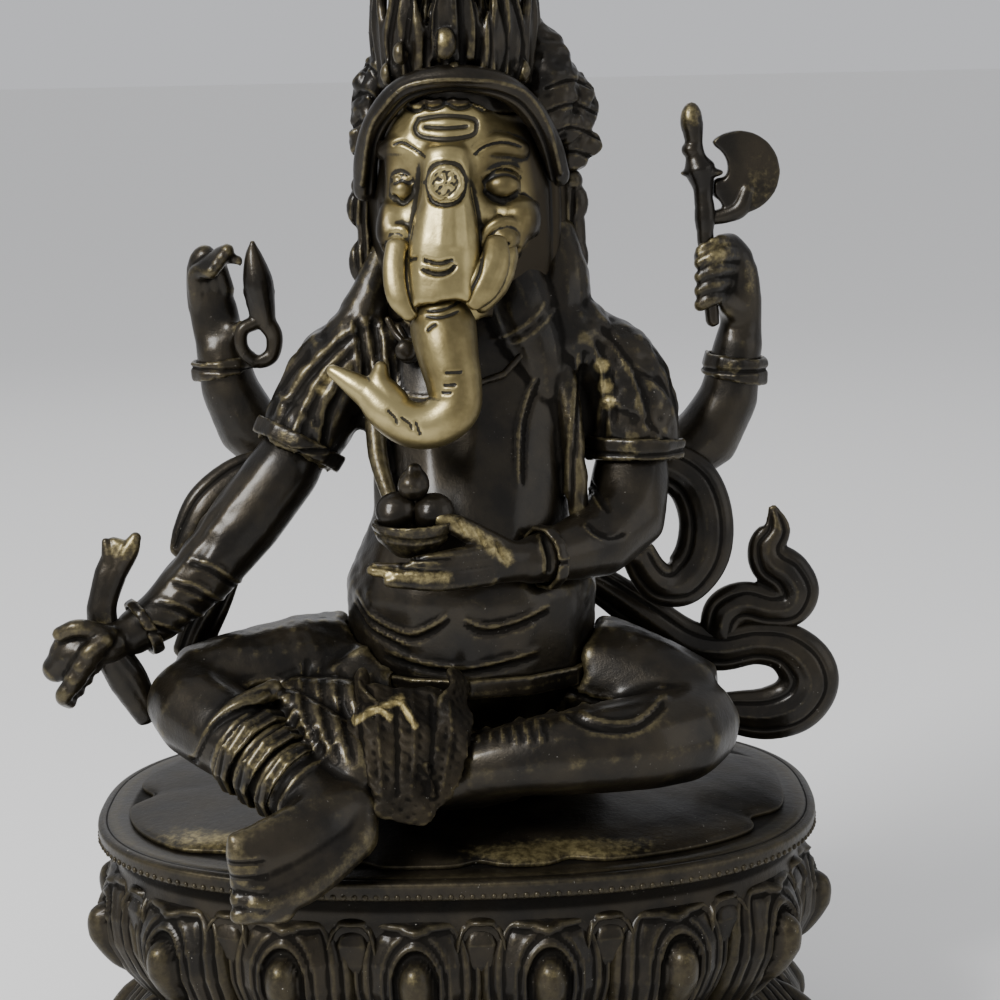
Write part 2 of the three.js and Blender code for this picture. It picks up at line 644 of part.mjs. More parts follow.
// ---------------------------------------------------------------- assembly
const bronze = { color: 0x2b251c, roughness: 0.42, metalness: 0.9 };
const brass = { color: 0x9c8748, roughness: 0.32, metalness: 0.95 };
const copper = { color: 0x6b4028, roughness: 0.5, metalness: 0.9 };

const idol = new THREE.Group();
const seated = new THREE.Group();
seated.position.set(0, -seatForward, base.height);
idol.add(seated);

function add(group, name, solid, finish) {
  const mesh = new THREE.Mesh(toGeometry(solid), new THREE.MeshStandardMaterial(finish));
  mesh.name = name;
  group.add(mesh);
}

// Cuts a piece by its neighbours' shapes grown by the joint gap, and keeps the casting.
const fitted = (solid, ...neighbours) => casting(cut(solid, ...neighbours.map((shape) => shape(GAP))));

add(idol, "lotus_pedestal", makePedestal(), bronze);
add(idol, "base_plate", makePlate(), copper);
add(idol, "seat_cushion", makeCushion(), bronze);

const s = shapes;
const arms = [s.armFrontRight, s.armFrontLeft, s.armBackRight, s.armBackLeft];
const torso = fitted(s.torso(), ...arms, ringShape("braceletFrontLeft"));
add(seated, "torso", torso, bronze);

const wedgePlaces = [-1, 1].map((side) => [side * tang.x, tang.y, wedgeHeight]);
const wedgeTools = wedgePlaces.map((place) => rod(wedge.radius + GAP, wedge.length + 2, place, "y"));
const legs = casting(
  cut(
    join(cut(s.lowerBody(), cushionTool()), ...tangs()),
    ...[s.torso, s.armFrontLeft, s.radish].map((shape) => shape(GAP)),
    belly(2 * GAP + belt.thickness).intersect(slab(belt.bottom - GAP, belt.top + GAP)),
    ...wedgeTools,
  ),
);
add(seated, "lower_body", legs, bronze);
wedgePlaces.forEach((place, i) => {
  add(seated, `tang_wedge_${i + 1}`, rod(wedge.radius, wedge.length, place, "y", 12), copper);
});

add(seated, "belt", casting(makeBelt()), bronze);
add(seated, "lap_cloth", fitted(s.lapCloth(), s.lowerBody, s.torso), bronze);

add(seated, "right_front_arm", fitted(s.armFrontRight(), s.radish), bronze);
add(seated, "left_front_arm", fitted(s.armFrontLeft(), bowlOuter), bronze);
add(seated, "right_back_arm", fitted(s.armBackRight(), s.noose), bronze);
add(seated, "left_back_arm", fitted(s.armBackLeft(), s.axeHandle, s.armFrontLeft), bronze);

const ringNames = {
  right_armband: "armbandRight",
  left_armband: "armbandLeft",
  right_back_bracelet: "braceletBackRight",
  left_back_bracelet: "braceletBackLeft",
  right_front_bracelet: "braceletFrontRight",
  left_front_bracelet: "braceletFrontLeft",
  anklet_1: "anklet1",
  anklet_2: "anklet2",
  anklet_3: "anklet3",
};
const foot = single("footRight");
const ringNeighbours = {
  armbandRight: [s.armBackRight],
  armbandLeft: [s.armBackLeft],
  anklet2: [foot],
  anklet3: [foot],
};
for (const [name, key] of Object.entries(ringNames)) {
  add(seated, name, fitted(makeRing(key), ...(ringNeighbours[key] ?? [])), bronze);
}

add(seated, "head", fitted(s.head(), s.torso, s.trunk, s.tuskRight, s.tuskLeft, s.crown, s.crownBand), brass);
add(seated, "trunk", s.trunk(), brass);
add(seated, "right_tusk", fitted(s.tuskRight(), s.trunk), brass);
add(seated, "left_tusk", fitted(s.tuskLeft(), s.trunk), brass);
add(seated, "right_ear", fitted(s.earRight(), s.head, s.torso, s.crownBand), bronze);
add(seated, "left_ear", fitted(s.earLeft(), s.head, s.torso, s.crownBand), bronze);
add(seated, "brow_roundel", fitted(disc(roundel.radius, roundel.thickness, [2, -37, 190]), s.head), brass);

const leafShapes = Array.from({ length: crown.leaves }, (_, i) => (grow) => crownLeaf(i, grow));
add(seated, "crown_band", s.crownBand(), bronze);
add(seated, "crown", fitted(s.crown(), s.crownBand, s.finial), bronze);
leafShapes.forEach((leaf, i) => {
  const neighbours = [s.crown, s.crownBand, ...leafShapes.slice(0, i)];
  add(seated, `crown_leaf_${i + 1}`, fitted(leaf(0), ...neighbours), bronze);
});
add(seated, "crown_finial", s.finial(), bronze);
const crownSide = (shape, ...neighbours) => fitted(shape(), s.crownBand, s.head, s.crown, ...neighbours);
add(seated, "crown_side_right", crownSide(s.crownSideRight, s.earRight, leafShapes[0]), bronze);
add(seated, "crown_side_left", crownSide(s.crownSideLeft, s.earLeft, leafShapes.at(-1)), bronze);

add(seated, "necklace", fitted(s.necklace(), s.torso, s.head), brass);
const medallion = disc(pendant.radius, pendant.thickness, [-10, -15, 141]);
add(seated, "pendant", fitted(medallion, s.torso, s.necklace), brass);

add(seated, "axe_handle", s.axeHandle(), brass);
add(seated, "axe_blade", fitted(s.axeBlade(), s.axeHandle, s.armBackLeft), brass);
add(seated, "noose", s.noose(), bronze);
add(seated, "radish", s.radish(), brass);
add(seated, "sweets_bowl", makeBowl(), brass);
sweets().forEach((solid, i) => add(seated, `sweet_${i + 1}`, solid, brass));

add(seated, "scarf_right", fitted(s.scarfRight(), s.torso, s.armFrontRight), bronze);
add(seated, "scarf_right_end", fitted(s.scarfRightEnd(), s.armFrontRight, s.lowerBody), bronze);
const loopNeighbours = [s.torso, s.armFrontLeft, s.armBackLeft, ringShape("armbandLeft")];
add(seated, "scarf_left_loop", fitted(s.scarfLoop(), ...loopNeighbours), bronze);
add(seated, "scarf_left_tail", fitted(s.scarfTail(), s.lowerBody, s.torso, s.scarfLoop), bronze);
add(seated, "scarf_left_curl", fitted(s.scarfCurl(), s.scarfTail), bronze);

export default idol;
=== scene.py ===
"""Looks of a cast bronze elephant-headed idol on a double-lotus pedestal.

Every casting starts from its solid in the frame, is given one smooth skin, and is then modelled and chased
like wax: bars and balls are added, ridges are raised and grooves are cut. Lengths here are millimetres.
"""

import math

import bpy
import numpy as np
from mathutils import Matrix, Vector


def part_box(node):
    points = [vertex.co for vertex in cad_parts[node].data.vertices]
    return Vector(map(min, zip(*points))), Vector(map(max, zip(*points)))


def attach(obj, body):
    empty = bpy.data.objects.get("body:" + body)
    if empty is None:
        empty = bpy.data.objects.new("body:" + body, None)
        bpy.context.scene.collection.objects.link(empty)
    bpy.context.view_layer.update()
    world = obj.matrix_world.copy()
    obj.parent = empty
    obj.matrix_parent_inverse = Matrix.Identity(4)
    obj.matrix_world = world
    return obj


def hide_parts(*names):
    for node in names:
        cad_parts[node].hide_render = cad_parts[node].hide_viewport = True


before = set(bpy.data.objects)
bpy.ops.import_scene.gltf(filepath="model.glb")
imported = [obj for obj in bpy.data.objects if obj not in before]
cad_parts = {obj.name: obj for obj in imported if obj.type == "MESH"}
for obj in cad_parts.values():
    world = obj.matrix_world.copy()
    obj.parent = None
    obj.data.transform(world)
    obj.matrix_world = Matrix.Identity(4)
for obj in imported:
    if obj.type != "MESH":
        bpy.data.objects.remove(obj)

bl_info = {
    "name": "Bronze idol looks",
    "version": (1, 0, 0),
    "blender": (4, 5, 0),
    "location": "3D View > Sidebar > Idol",
    "description": "Models and finishes the castings of a seated bronze idol",
    "category": "Object",
}

MM = 0.001
DUST = (0.34, 0.32, 0.28, 1.0)
STUDIO_AIR, STUDIO_AIR_STRENGTH = (0.95, 0.96, 1.0, 1.0), 0.66
FLOOR_REACH = 30.0  # metres from the middle to the floor's edge, so that it ends beyond sight
LIGHTS_AIM = (0.0, 0.0, 0.2)
EYE, EYE_DOWN, EYE_ROLL = (0.0151, -0.7013, 0.3208), 10.7, -1.2  # metres and degrees
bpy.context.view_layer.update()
BODY = "root"

# each view's direction toward the viewer, and the two axes that its flat drawings use
VIEWS = {
    "front": ((0.0, -1.0, 0.0), (0, 2)),
    "back": ((0.0, 1.0, 0.0), (0, 2)),
    "right": ((-1.0, 0.0, 0.0), (1, 2)),
    "left": ((1.0, 0.0, 0.0), (1, 2)),
}


# ---------------------------------------------------------------- places on the frame
def corners(node):
    """Lowest and highest corners of a frame node, in millimetres."""
    low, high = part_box(node)
    return np.array(low) / MM, np.array(high) / MM


def spot(node, across=0.5, deep=0.5, high=0.5):
    """A point given by shares of a node's box: from its -X side, from its front and from its foot."""
    low, top = corners(node)
    return low + (top - low) * np.array((across, deep, high))


# ---------------------------------------------------------------- curves
def smooth_path(points, spacing):
    """Points spaced about evenly on a smooth curve through the given ones; extra columns follow along."""
    points = np.array(points, float)
    if len(points) == 1:
        return points
    ends = [2 * points[0] - points[1], 2 * points[-1] - points[-2]]
    knots = np.vstack([ends[0], points, ends[1]])
    rows = []
    for i in range(1, len(knots) - 2):
        a, b, c, d = knots[i - 1 : i + 3]
        count = max(2, int(np.ceil(np.linalg.norm((c - b)[:3]) / spacing)))
        for t in np.arange(count) / count:
            rows.append(0.5 * (
                2 * b + (c - a) * t + (2 * a - 5 * b + 4 * c - d) * t**2 + (3 * b - a - 3 * c + d) * t**3
            ))
    rows.append(points[-1])
    return np.array(rows)


# ---------------------------------------------------------------- clay
class Clay:
    """A casting while it is modelled: closed shapes, then one skin of small faces."""

    def __init__(self, *nodes):
        self.points = np.zeros((0, 3))
        self.faces = []
        self.quads = np.zeros((0, 4), int)
        for node in nodes:
            self.add_node(node)

    def add(self, points, faces):
        """Adds one more closed shape."""
        start = len(self.points)
        self.points = np.vstack([self.points, np.asarray(points, float)])
        self.faces.extend([tuple(int(start + i) for i in face) for face in faces])
        return self

    def add_node(self, node):
        """Adds a solid of the frame, with the points that its faces share joined."""
        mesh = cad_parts[node].data
        points = np.empty(len(mesh.vertices) * 3)
        mesh.vertices.foreach_get("co", points)
        points = points.reshape(-1, 3) / MM
        _, first, same = np.unique(np.round(points, 3), axis=0, return_index=True, return_inverse=True)
        same = same.ravel()
        mesh.calc_loop_triangles()
        corners_of = [tuple(same[list(t.vertices)]) for t in mesh.loop_triangles]
        return self.add(points[first], [c for c in corners_of if len(set(c)) == 3])

    def bar(self, rows, sides=14, spacing=1.0, flat=1.0, depth_axis=(0, 1, 0)):
        """A round bar through rows of x, y, z, radius and, if given, depth radius. Its ends are domed."""
        rows = [list(row) + ([row[3] * flat] if len(row) == 4 else []) for row in rows]
        path = smooth_path(rows, spacing)
        centres, wide, deep = path[:, :3], path[:, 3], path[:, 4]
        tangents = np.gradient(centres, axis=0)
        tangents /= np.linalg.norm(tangents, axis=1)[:, None] + 1e-9
        across = np.cross(tangents, np.array(depth_axis, float))
        across /= np.linalg.norm(across, axis=1)[:, None] + 1e-9
        up = np.cross(across, tangents)
        turn = np.arange(sides) / sides * 2 * math.pi
        dome = (0.0, 0.5, 0.86)
        rings = []
        for share in dome:
            rings.append((0, -math.sqrt(1 - share**2), share))
        rings += [(i, 0, 1) for i in range(len(path))]
        for share in reversed(dome):
            rings.append((len(path) - 1, math.sqrt(1 - share**2), share))
        points = []
        for i, push, share in rings:
            share = max(share, 0.02)
            centre = centres[i] + tangents[i] * push * min(wide[i], deep[i])
            points.append(
                centre
                + np.outer(np.cos(turn), across[i]) * wide[i] * share
                + np.outer(np.sin(turn), up[i]) * deep[i] * share
            )
        faces = []
        for r in range(len(rings) - 1):
            for s in range(sides):
                a, b = r * sides + s, r * sides + (s + 1) % sides
                faces.append((a, b, b + sides, a + sides))
        last = (len(rings) - 1) * sides
        faces.append(tuple(range(sides - 1, -1, -1)))
        faces.append(tuple(range(last, last + sides)))
        return self.add(np.vstack(points), faces)

    def ball(self, centre, radii, turn=(0, 0, 0), sides=18):
        """An egg with a radius along each axis."""
        radii = np.broadcast_to(np.array(radii, float), 3)
        rows = []
        rings = sides // 2
        for r in range(1, rings):
            polar = math.pi * r / rings
            for s in range(sides):
                round_ = 2 * math.pi * s / sides
                rows.append((
                    math.sin(polar) * math.cos(round_), math.sin(polar) * math.sin(round_), math.cos(polar),
                ))
        rows += [(0, 0, 1), (0, 0, -1)]
        spin = np.array(
            Matrix.Rotation(
                turn[2], 3, "Z",
            ) @ Matrix.Rotation(turn[1], 3, "Y") @ Matrix.Rotation(turn[0], 3, "X")
        )
        points = (np.array(rows) * radii) @ spin.T + np.array(centre, float)
        faces = []
        for r in range(rings - 2):
            for s in range(sides):
                a, b = r * sides + s, r * sides + (s + 1) % sides
                faces.append((a, a + sides, b + sides, b))
        top, foot, last = len(rows) - 2, len(rows) - 1, (rings - 2) * sides
        for s in range(sides):
            faces.append((top, s, (s + 1) % sides))
            faces.append((foot, last + (s + 1) % sides, last + s))
        return self.add(points, faces)

    # One skin
    def skin(self, voxel, rounds=2):
        """Fuses everything into one closed skin of small square faces."""
        faces = self.faces + [tuple(quad) for quad in self.quads.tolist()]
        mesh = bpy.data.meshes.new("clay")
        mesh.from_pydata((self.points * MM).tolist(), [], faces)
        holder = bpy.data.objects.new("clay", mesh)
        bpy.context.collection.objects.link(holder)
        remesh = holder.modifiers.new("skin", "REMESH")
        remesh.mode = "VOXEL"
        remesh.voxel_size = voxel * MM
        done = bpy.data.meshes.new_from_object(holder.evaluated_get(bpy.context.evaluated_depsgraph_get()))
        self.points = read(done.vertices, "co", 3) / MM
        self.quads = read(done.loops, "vertex_index", 1, int).reshape(-1, 4)
        self.edges = read(done.edges, "vertices", 2, int)
        self.faces = []
        bpy.data.objects.remove(holder)
        bpy.data.meshes.remove(mesh)
        bpy.data.meshes.remove(done)
        self.bare_and_shade = np.zeros(len(self.points))
        self.ink = np.zeros(len(self.points))
        self.smooth(rounds)
        self.find_normals()
        return self

    def relax(self, rounds):
        """Irons out facets and keeps the volume."""
        for _ in range(rounds):
            self.smooth(1, 0.6)
            self.smooth(1, -0.61)
        return self

    def neighbours_mean(self, values):
        """The mean of the values at the points joined to each point by an edge."""
        a, b = self.edges.T
        count = len(self.points)
        degree = np.bincount(a, minlength=count) + np.bincount(b, minlength=count)
        values = values.reshape(count, -1)
        total = np.stack(
            [
                np.bincount(a, values[b, k], minlength=count) + np.bincount(b, values[a, k], minlength=count)
                for k in range(values.shape[1])
            ],
            axis=1,
        )
        return total / np.maximum(degree, 1)[:, None]

    def smooth(self, rounds, amount=0.5):
        for _ in range(rounds):
            self.points = self.points + amount * (self.neighbours_mean(self.points) - self.points)
        return self

    def find_normals(self):
        p = self.points[self.quads]
        cross = np.cross(p[:, 2] - p[:, 0], p[:, 3] - p[:, 1])
        count = len(self.points)
        normals = sum(
            np.stack(
                [np.bincount(self.quads[:, k], cross[:, axis], minlength=count) for axis in range(3)], axis=1,
            )
            for k in range(4)
        )
        self.normals = normals / (np.linalg.norm(normals, axis=1)[:, None] + 1e-12)
        return self

    # Chasing
    def flat_view(self, view):
        """Two flat coordinates of each point, and how far it faces the view."""
        toward, axes = VIEWS[view]
        return self.points[:, axes], self.normals @ np.array(toward)

    def stroke(self, path, width, height, view="front", taper=0.0, facing=0.12):
        """Raises a ridge along a path drawn in a view, or cuts a groove when the height is negative."""
        flat, toward = self.flat_view(view)
        line = smooth_path(path, max(0.25, width * 0.35))
        low, high = line.min(axis=0) - 3 * width, line.max(axis=0) + 3 * width
        pick = np.all((flat > low) & (flat < high), axis=1) & (toward > facing)
        chosen = np.flatnonzero(pick)
        if not len(chosen):
            return self
        gap = np.full(len(chosen), 1e9)
        share = np.zeros(len(chosen))
        for i, point in enumerate(line):
            away = np.hypot(*(flat[chosen] - point).T)
            closer = away < gap
            gap[closer] = away[closer]
            share[closer] = i / max(1, len(line) - 1)
        rise = height * np.exp(-((gap / width) ** 2.0))
        if taper:
            rise = rise * np.clip(np.minimum(share, 1 - share) / taper, 0.0, 1.0) ** 0.7
        self.points[chosen] += self.normals[chosen] * rise[:, None]
        if height < 0:
            self.ink[chosen] = np.maximum(self.ink[chosen], np.clip(-rise * 1.3, 0, 1))
        return self

    def grooved(self, path, width, height, across=(1.5, 0.0), **how):
        """A raised fold with a groove beside it."""
        self.stroke(path, width, height, **how)
        return self.stroke([(x + across[0], z + across[1]) for x, z in path], width * 0.9, -height, **how)

    def swell(self, centre, radii, height):
        """Raises or sinks a soft patch round a point in space."""
        away = (self.points - np.array(centre)) / np.broadcast_to(np.array(radii, float), 3)
        rise = height * np.exp(-np.sum(away**2, axis=1))
        self.points += self.normals * rise[:, None]
        return self

    def rings_round(self, start, end, count, width, height, radius=40):
        """Raised rings round the straight line from start to end, evenly spaced."""
        start, end = np.array(start, float), np.array(end, float)
        line = end - start
        length = np.linalg.norm(line)
        along = (self.points - start) @ (line / length)
        off = np.linalg.norm(self.points - start - np.outer(along, line / length), axis=1)
        for i in range(count):
            place = length * (i + 0.5) / count
            rise = height * np.exp(-(((along - place) / width) ** 2)) * (off < radius)
            self.points += self.normals * rise[:, None]
        return self

    def rough(self, size, height, seed=0, where=None):
        """Uneven cast surface: a few crossing waves of about the given size."""
        rng = np.random.default_rng(seed)
        rise = np.zeros(len(self.points))
        for _ in range(7):
            way = rng.normal(size=3)
            way *= 2 * math.pi / (size * rng.uniform(0.7, 1.5)) / np.linalg.norm(way)
            rise += np.sin(self.points @ way + rng.uniform(0, 6.3))
        rise *= height / 2.6
        if where is not None:
            rise = rise * where
        self.points += self.normals * rise[:, None]
        return self

    def rub(self, centre, radii, amount=1.0):
        """Rubs the patina off round a point, so that brass shows."""
        away = (self.points - np.array(centre)) / np.broadcast_to(np.array(radii, float), 3)
        self.bare_and_shade = np.maximum(self.bare_and_shade, amount * np.exp(-np.sum(away**2, axis=1) ** 1.5))
        return self

    def rub_stroke(self, path, width, amount=1.0, view="front", facing=-0.2):
        """Rubs the patina off along a path drawn in a view."""
        flat, toward = self.flat_view(view)
        gap = np.full(len(self.points), 1e9)
        for point in smooth_path(path, max(0.5, width * 0.5)):
            gap = np.minimum(gap, np.hypot(*(flat - point).T))
        self.bare_and_shade = np.maximum(self.bare_and_shade, amount * np.exp(-((gap / width) ** 2)) * (toward > facing))
        return self

    def finish(self, name, material, nodes, slot="patinated_bronze"):
        """Turns the clay into an object with its finish, standing for its frame nodes."""
        self.find_normals()
        mesh = quad_mesh(name, self.points * MM, self.quads)
        relief = np.einsum("ij,ij->i", self.points - self.spread(6), self.normals)
        fine = np.einsum("ij,ij->i", self.points - self.spread(2), self.normals)
        edge = np.clip(relief * 2.2 + fine * 3.0 - self.ink, -1, 1)
        set_values(mesh, "bare_and_shade", self.bare_and_shade)
        set_values(mesh, "edge", edge)
        return place(name, mesh, material, nodes, slot)

    def spread(self, rounds):
        """The points as a much smoother skin would have them."""
        points = self.points
        for _ in range(rounds):
            points = self.neighbours_mean(points)
        return points


def read(items, field, width, kind=float):
    """One field of a mesh's items as rows."""
    values = np.empty(len(items) * width, kind)
    items.foreach_get(field, values)
    return values.reshape(-1, width) if width > 1 else values


def quad_mesh(name, points, quads):
    """A mesh of four-sided faces."""
    mesh = bpy.data.meshes.new(name)
    mesh.vertices.add(len(points))
    mesh.vertices.foreach_set("co", np.ascontiguousarray(points, np.float32).ravel())
    mesh.loops.add(quads.size)
    mesh.loops.foreach_set("vertex_index", np.ascontiguousarray(quads, np.int32).ravel())
    mesh.polygons.add(len(quads))
    mesh.polygons.foreach_set("loop_start", np.arange(0, quads.size, 4, dtype=np.int32))
    mesh.update(calc_edges=True)
    return mesh


def set_values(mesh, key, values):
    """Writes one number at each point of a mesh, for its finish."""
    attribute = mesh.attributes.get(key) or mesh.attributes.new(key, "FLOAT", "POINT")
    attribute.data.foreach_set("value", np.ascontiguousarray(values, dtype=np.float32))


def place(name, mesh, material, nodes, slot):
    """Makes a mesh into a piece of the idol that stands for some of the frame's nodes."""
    mesh.materials.clear()
    mesh.materials.append(material)
    mesh.shade_smooth()
    piece = bpy.data.objects.new(name, mesh)
    bpy.context.collection.objects.link(piece)
    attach(piece, BODY)
    if nodes:
        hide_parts(*nodes)
    return piece


# ---------------------------------------------------------------- finishes
class Value:
    """A shader socket that takes part in sums."""

    def __init__(self, paint, socket):
        self.paint = paint
        self.socket = socket

    def _math(self, operation, *values):
        return self.paint.node("ShaderNodeMath", {"operation": operation}, dict(enumerate(values)))

    def __add__(self, other):
        return self._math("ADD", self, other)

    __radd__ = __add__

    def __sub__(self, other):
        return self._math("SUBTRACT", self, other)

    def __rsub__(self, other):
        return self._math("SUBTRACT", other, self)

    def __mul__(self, other):
        return self._math("MULTIPLY", self, other)

    __rmul__ = __mul__

    def within(self, low, high):
        """0 below low, 1 above high and a smooth rise between them."""
        return self.paint.node(
            "ShaderNodeMapRange", {"interpolation_type": "SMOOTHSTEP"},
            {"Value": self, "From Min": low, "From Max": high},
        )


class Paint:
    """A metal finish that is built node by node."""

    def __init__(self, name):
        self.material = bpy.data.materials.new(name)
        self.material.use_nodes = True
        self.tree = self.material.node_tree
        self.tree.nodes.clear()
        self.place = self.node("ShaderNodeTexCoord", output="Object")

    def node(self, kind, settings=None, values=None, output=0):
        """Adds a node: its settings first, then its sockets, by name, identifier or number."""
        node = self.tree.nodes.new(kind)
        for key, value in (settings or {}).items():
            if key == "stops":
                for stop, (position, colour) in zip(node.color_ramp.elements, value):
                    stop.position, stop.color = position, colour
            else:
                setattr(node, key, value)
        for key, value in (values or {}).items():
            by_identifier = [s for s in node.inputs if s.identifier == key]
            socket = by_identifier[0] if by_identifier else node.inputs[key]
            if isinstance(value, Value):
                self.tree.links.new(value.socket, socket)
            else:
                socket.default_value = value
        if not node.outputs:
            return None
        by_identifier = [s for s in node.outputs if s.identifier == output]
        return Value(self, by_identifier[0] if by_identifier else node.outputs[output])

    def noise(self, size, detail=3.0, rough=0.55):
        """Grey clouds about the given size in millimetres."""
        return self.node(
            "ShaderNodeTexNoise", None,
            {"Vector": self.place, "Scale": 1 / (size * MM), "Detail": detail, "Roughness": rough},
        )

    def attribute(self, name):
        """A value that the modelling left at each point."""
        return self.node("ShaderNodeAttribute", {"attribute_name": name}, output="Fac")

    def mix(self, share, first, second):
        """The first colour where the share is 0, the second where it is 1."""
        return self.node(
            "ShaderNodeMix",
            {"data_type": "RGBA"},
            {"Factor_Float": share, "A_Color": first, "B_Color": second},
            output="Result_Color",
        )

    def bump(self, height, depth, below=None):
        """Fine relief of a depth in millimetres, over another one if given."""
        values = {"Height": height, "Strength": 1.0, "Distance": depth * MM}
        if below is not None:
            values["Normal"] = below
        return self.node("ShaderNodeBump", None, values)

    def finish(self, sockets):
        shader = self.node("ShaderNodeBsdfPrincipled", None, sockets)
        self.node("ShaderNodeOutputMaterial", None, {"Surface": shader})
        return self.material


def rgba(colour):
    return (*colour[:3], 1.0)


def patinated(name, wear=1.0, dustiness=1.0, matt=0.0):
    """Dark patina over brass: brass shows where an edge is worn or where the patina was rubbed off."""
    tones = bpy.context.scene.idol_finish
    paint = Paint(name)
    edge, bare_and_shade = paint.attribute("edge"), paint.attribute("bare_and_shade")
    clouds, flecks, grain = paint.noise(14, 4.0), paint.noise(2.2, 4.0, 0.65), paint.noise(0.5, 2.0)
    hollow = (edge * -1.0).within(0.05, 0.6)
    worn = (edge + 0.8 * flecks - 0.4).within(0.40, 1.1)
    rubbed = (bare_and_shade + 0.6 * flecks - 0.3).within(0.18, 0.80)
    patina = paint.mix(clouds.within(0.3, 0.7), rgba(tones.patina), rgba(tones.patina_light))
    patina = paint.mix(hollow * 0.75, patina, rgba(tones.grime))
    metal = paint.mix(flecks.within(0.3, 0.7), rgba(tones.brass_dull), rgba(tones.brass))
    colour = paint.mix(worn * (tones.wear * wear), patina, metal)
    colour = paint.mix(rubbed, colour, metal)
    dust = paint.noise(0.9, 2.0, 0.7).within(0.70, 0.76) * paint.noise(18, 2.0).within(0.48, 0.62)
    colour = paint.mix(dust * (tones.dust * dustiness), colour, DUST)
    rough = 0.24 + matt + 0.16 * clouds + 0.25 * hollow + 0.14 * flecks - 0.05 * rubbed + 0.3 * dust
    bump = paint.bump(flecks, 0.16 + 0.4 * matt)
    bump = paint.bump(grain, 0.05, bump)
    return paint.finish(
        {
            "Base Color": colour,
            "Metallic": 0.70 + 0.25 * rubbed - 0.6 * dust,
            "Roughness": rough,
            "Normal": bump,
            "Coat Weight": (0.27 - matt) - 0.25 * hollow,
            "Specular IOR Level": 0.22,
            "Coat Roughness": 0.20,
        }
    )


def bright_brass(name):
    """Brass kept bright by touch, with dark wax left in its grooves; where the head and trunk ask for it, it
    is drawn duller as painted shade.
    """
    tones = bpy.context.scene.idol_finish
    paint = Paint(name)
    edge, bare_and_shade = paint.attribute("edge"), paint.attribute("bare_and_shade")
    clouds, flecks = paint.noise(11, 3.0), paint.noise(1.6, 4.0, 0.6)
    groove = (edge * -1.0 + 0.25 * flecks).within(0.22, 0.55)
    # partly random dulling from the clouds, partly painted shade: values below zero on the head and trunk
    # turn the brass dull and dark
    dull_and_shade = (clouds + 0.3 * flecks - 0.9 * bare_and_shade).within(0.1, 0.95)
    colour = paint.mix(dull_and_shade, rgba(tones.brass), rgba(tones.brass_dull))
    colour = paint.mix(bare_and_shade.within(-0.9, 0.15), rgba(tones.patina_light), colour)
    colour = paint.mix(groove * 0.94, colour, rgba(tones.grime))
    return paint.finish(
        {
            "Base Color": colour,
            "Metallic": 0.95 - 0.3 * groove,
            "Roughness": 0.33 + 0.10 * dull_and_shade + 0.25 * groove,
            "Normal": paint.bump(flecks, 0.07),
            "Coat Weight": 0.1,
            "Coat Roughness": 0.2,
        }
    )


def plain_copper(name):
    """Copper sheet that has begun to darken."""
    tones = bpy.context.scene.idol_finish
    paint = Paint(name)
    clouds, flecks = paint.noise(16, 4.0), paint.noise(1.4, 3.0)
    colour = paint.mix(clouds.within(0.3, 0.7), rgba(tones.copper), rgba(tones.patina_light))
    return paint.finish(
        {
            "Base Color": colour,
            "Metallic": 0.9,
            "Roughness": 0.38 + 0.2 * clouds,
            "Normal": paint.bump(flecks, 0.05),
        }
    )


# ---------------------------------------------------------------- sizes and colours a user would change
def colour(name, description, default):
    return bpy.props.FloatVectorProperty(
        name=name, description=description, default=default, subtype="COLOR", size=3, min=0.0, max=1.0
    )


def length(name, description, default):
    return bpy.props.FloatProperty(
        name=name, description=f"{description}, in millimetres", default=default, min=0.01,
    )


class IdolFinish(bpy.types.PropertyGroup):
    """Colours and wear of the metal."""

    patina: colour("Patina", "Dark colour of the aged bronze", (0.0085, 0.0070, 0.0050))
    patina_light: colour("Light patina", "Colour of the thinner patina", (0.026, 0.0205, 0.0125))
    grime: colour("Grime", "Wax and dust held in the hollows", (0.004, 0.0035, 0.003))
    brass: colour("Brass", "Brass where hands have kept it bright", (0.34, 0.28, 0.13))
    brass_dull: colour("Dull brass", "Brass that has begun to darken", (0.13, 0.102, 0.044))
    copper: colour("Copper", "Sealing plate under the pedestal", (0.35, 0.15, 0.08))
    wear: bpy.props.FloatProperty(
        name="Wear", description="Share of brass on worn edges", default=0.24, min=0, max=1,
    )
    dust: bpy.props.FloatProperty(name="Dust", description="Pale specks of dust", default=0.5, min=0, max=1)


class IdolModelling(bpy.types.PropertyGroup):
    """Fineness of the castings' skins."""

    large: length("Large castings", "Face size on the body and legs", 1.05)
    medium: length("Medium castings", "Face size on arms, crown and scarves", 0.75)
    small: length("Small castings", "Face size on the face and jewellery", 0.5)


class IdolPedestal(bpy.types.PropertyGroup):
    """Lotus petals and beads of the pedestal."""

    petals: bpy.props.IntProperty(name="Petals", description="Petals in one row", default=16, min=6)
    phase: bpy.props.FloatProperty(
        name="Phase", description="Share of a petal that the rows are turned by", default=0.70,
    )
    bead_pitch: length("Bead pitch", "Distance between two beads under the rim", 3.0)
    bead_size: length("Bead size", "Width of one bead", 2.1)
    waist: length("Waist height", "Height of the narrowest ring", 41.0)
    waist_inset: length("Waist inset", "Distance of the waist inside the rim", 16.0)
    squareness: bpy.props.FloatProperty(
        name="Squareness", description="2 is an ellipse, more is squarer", default=2.5,
    )


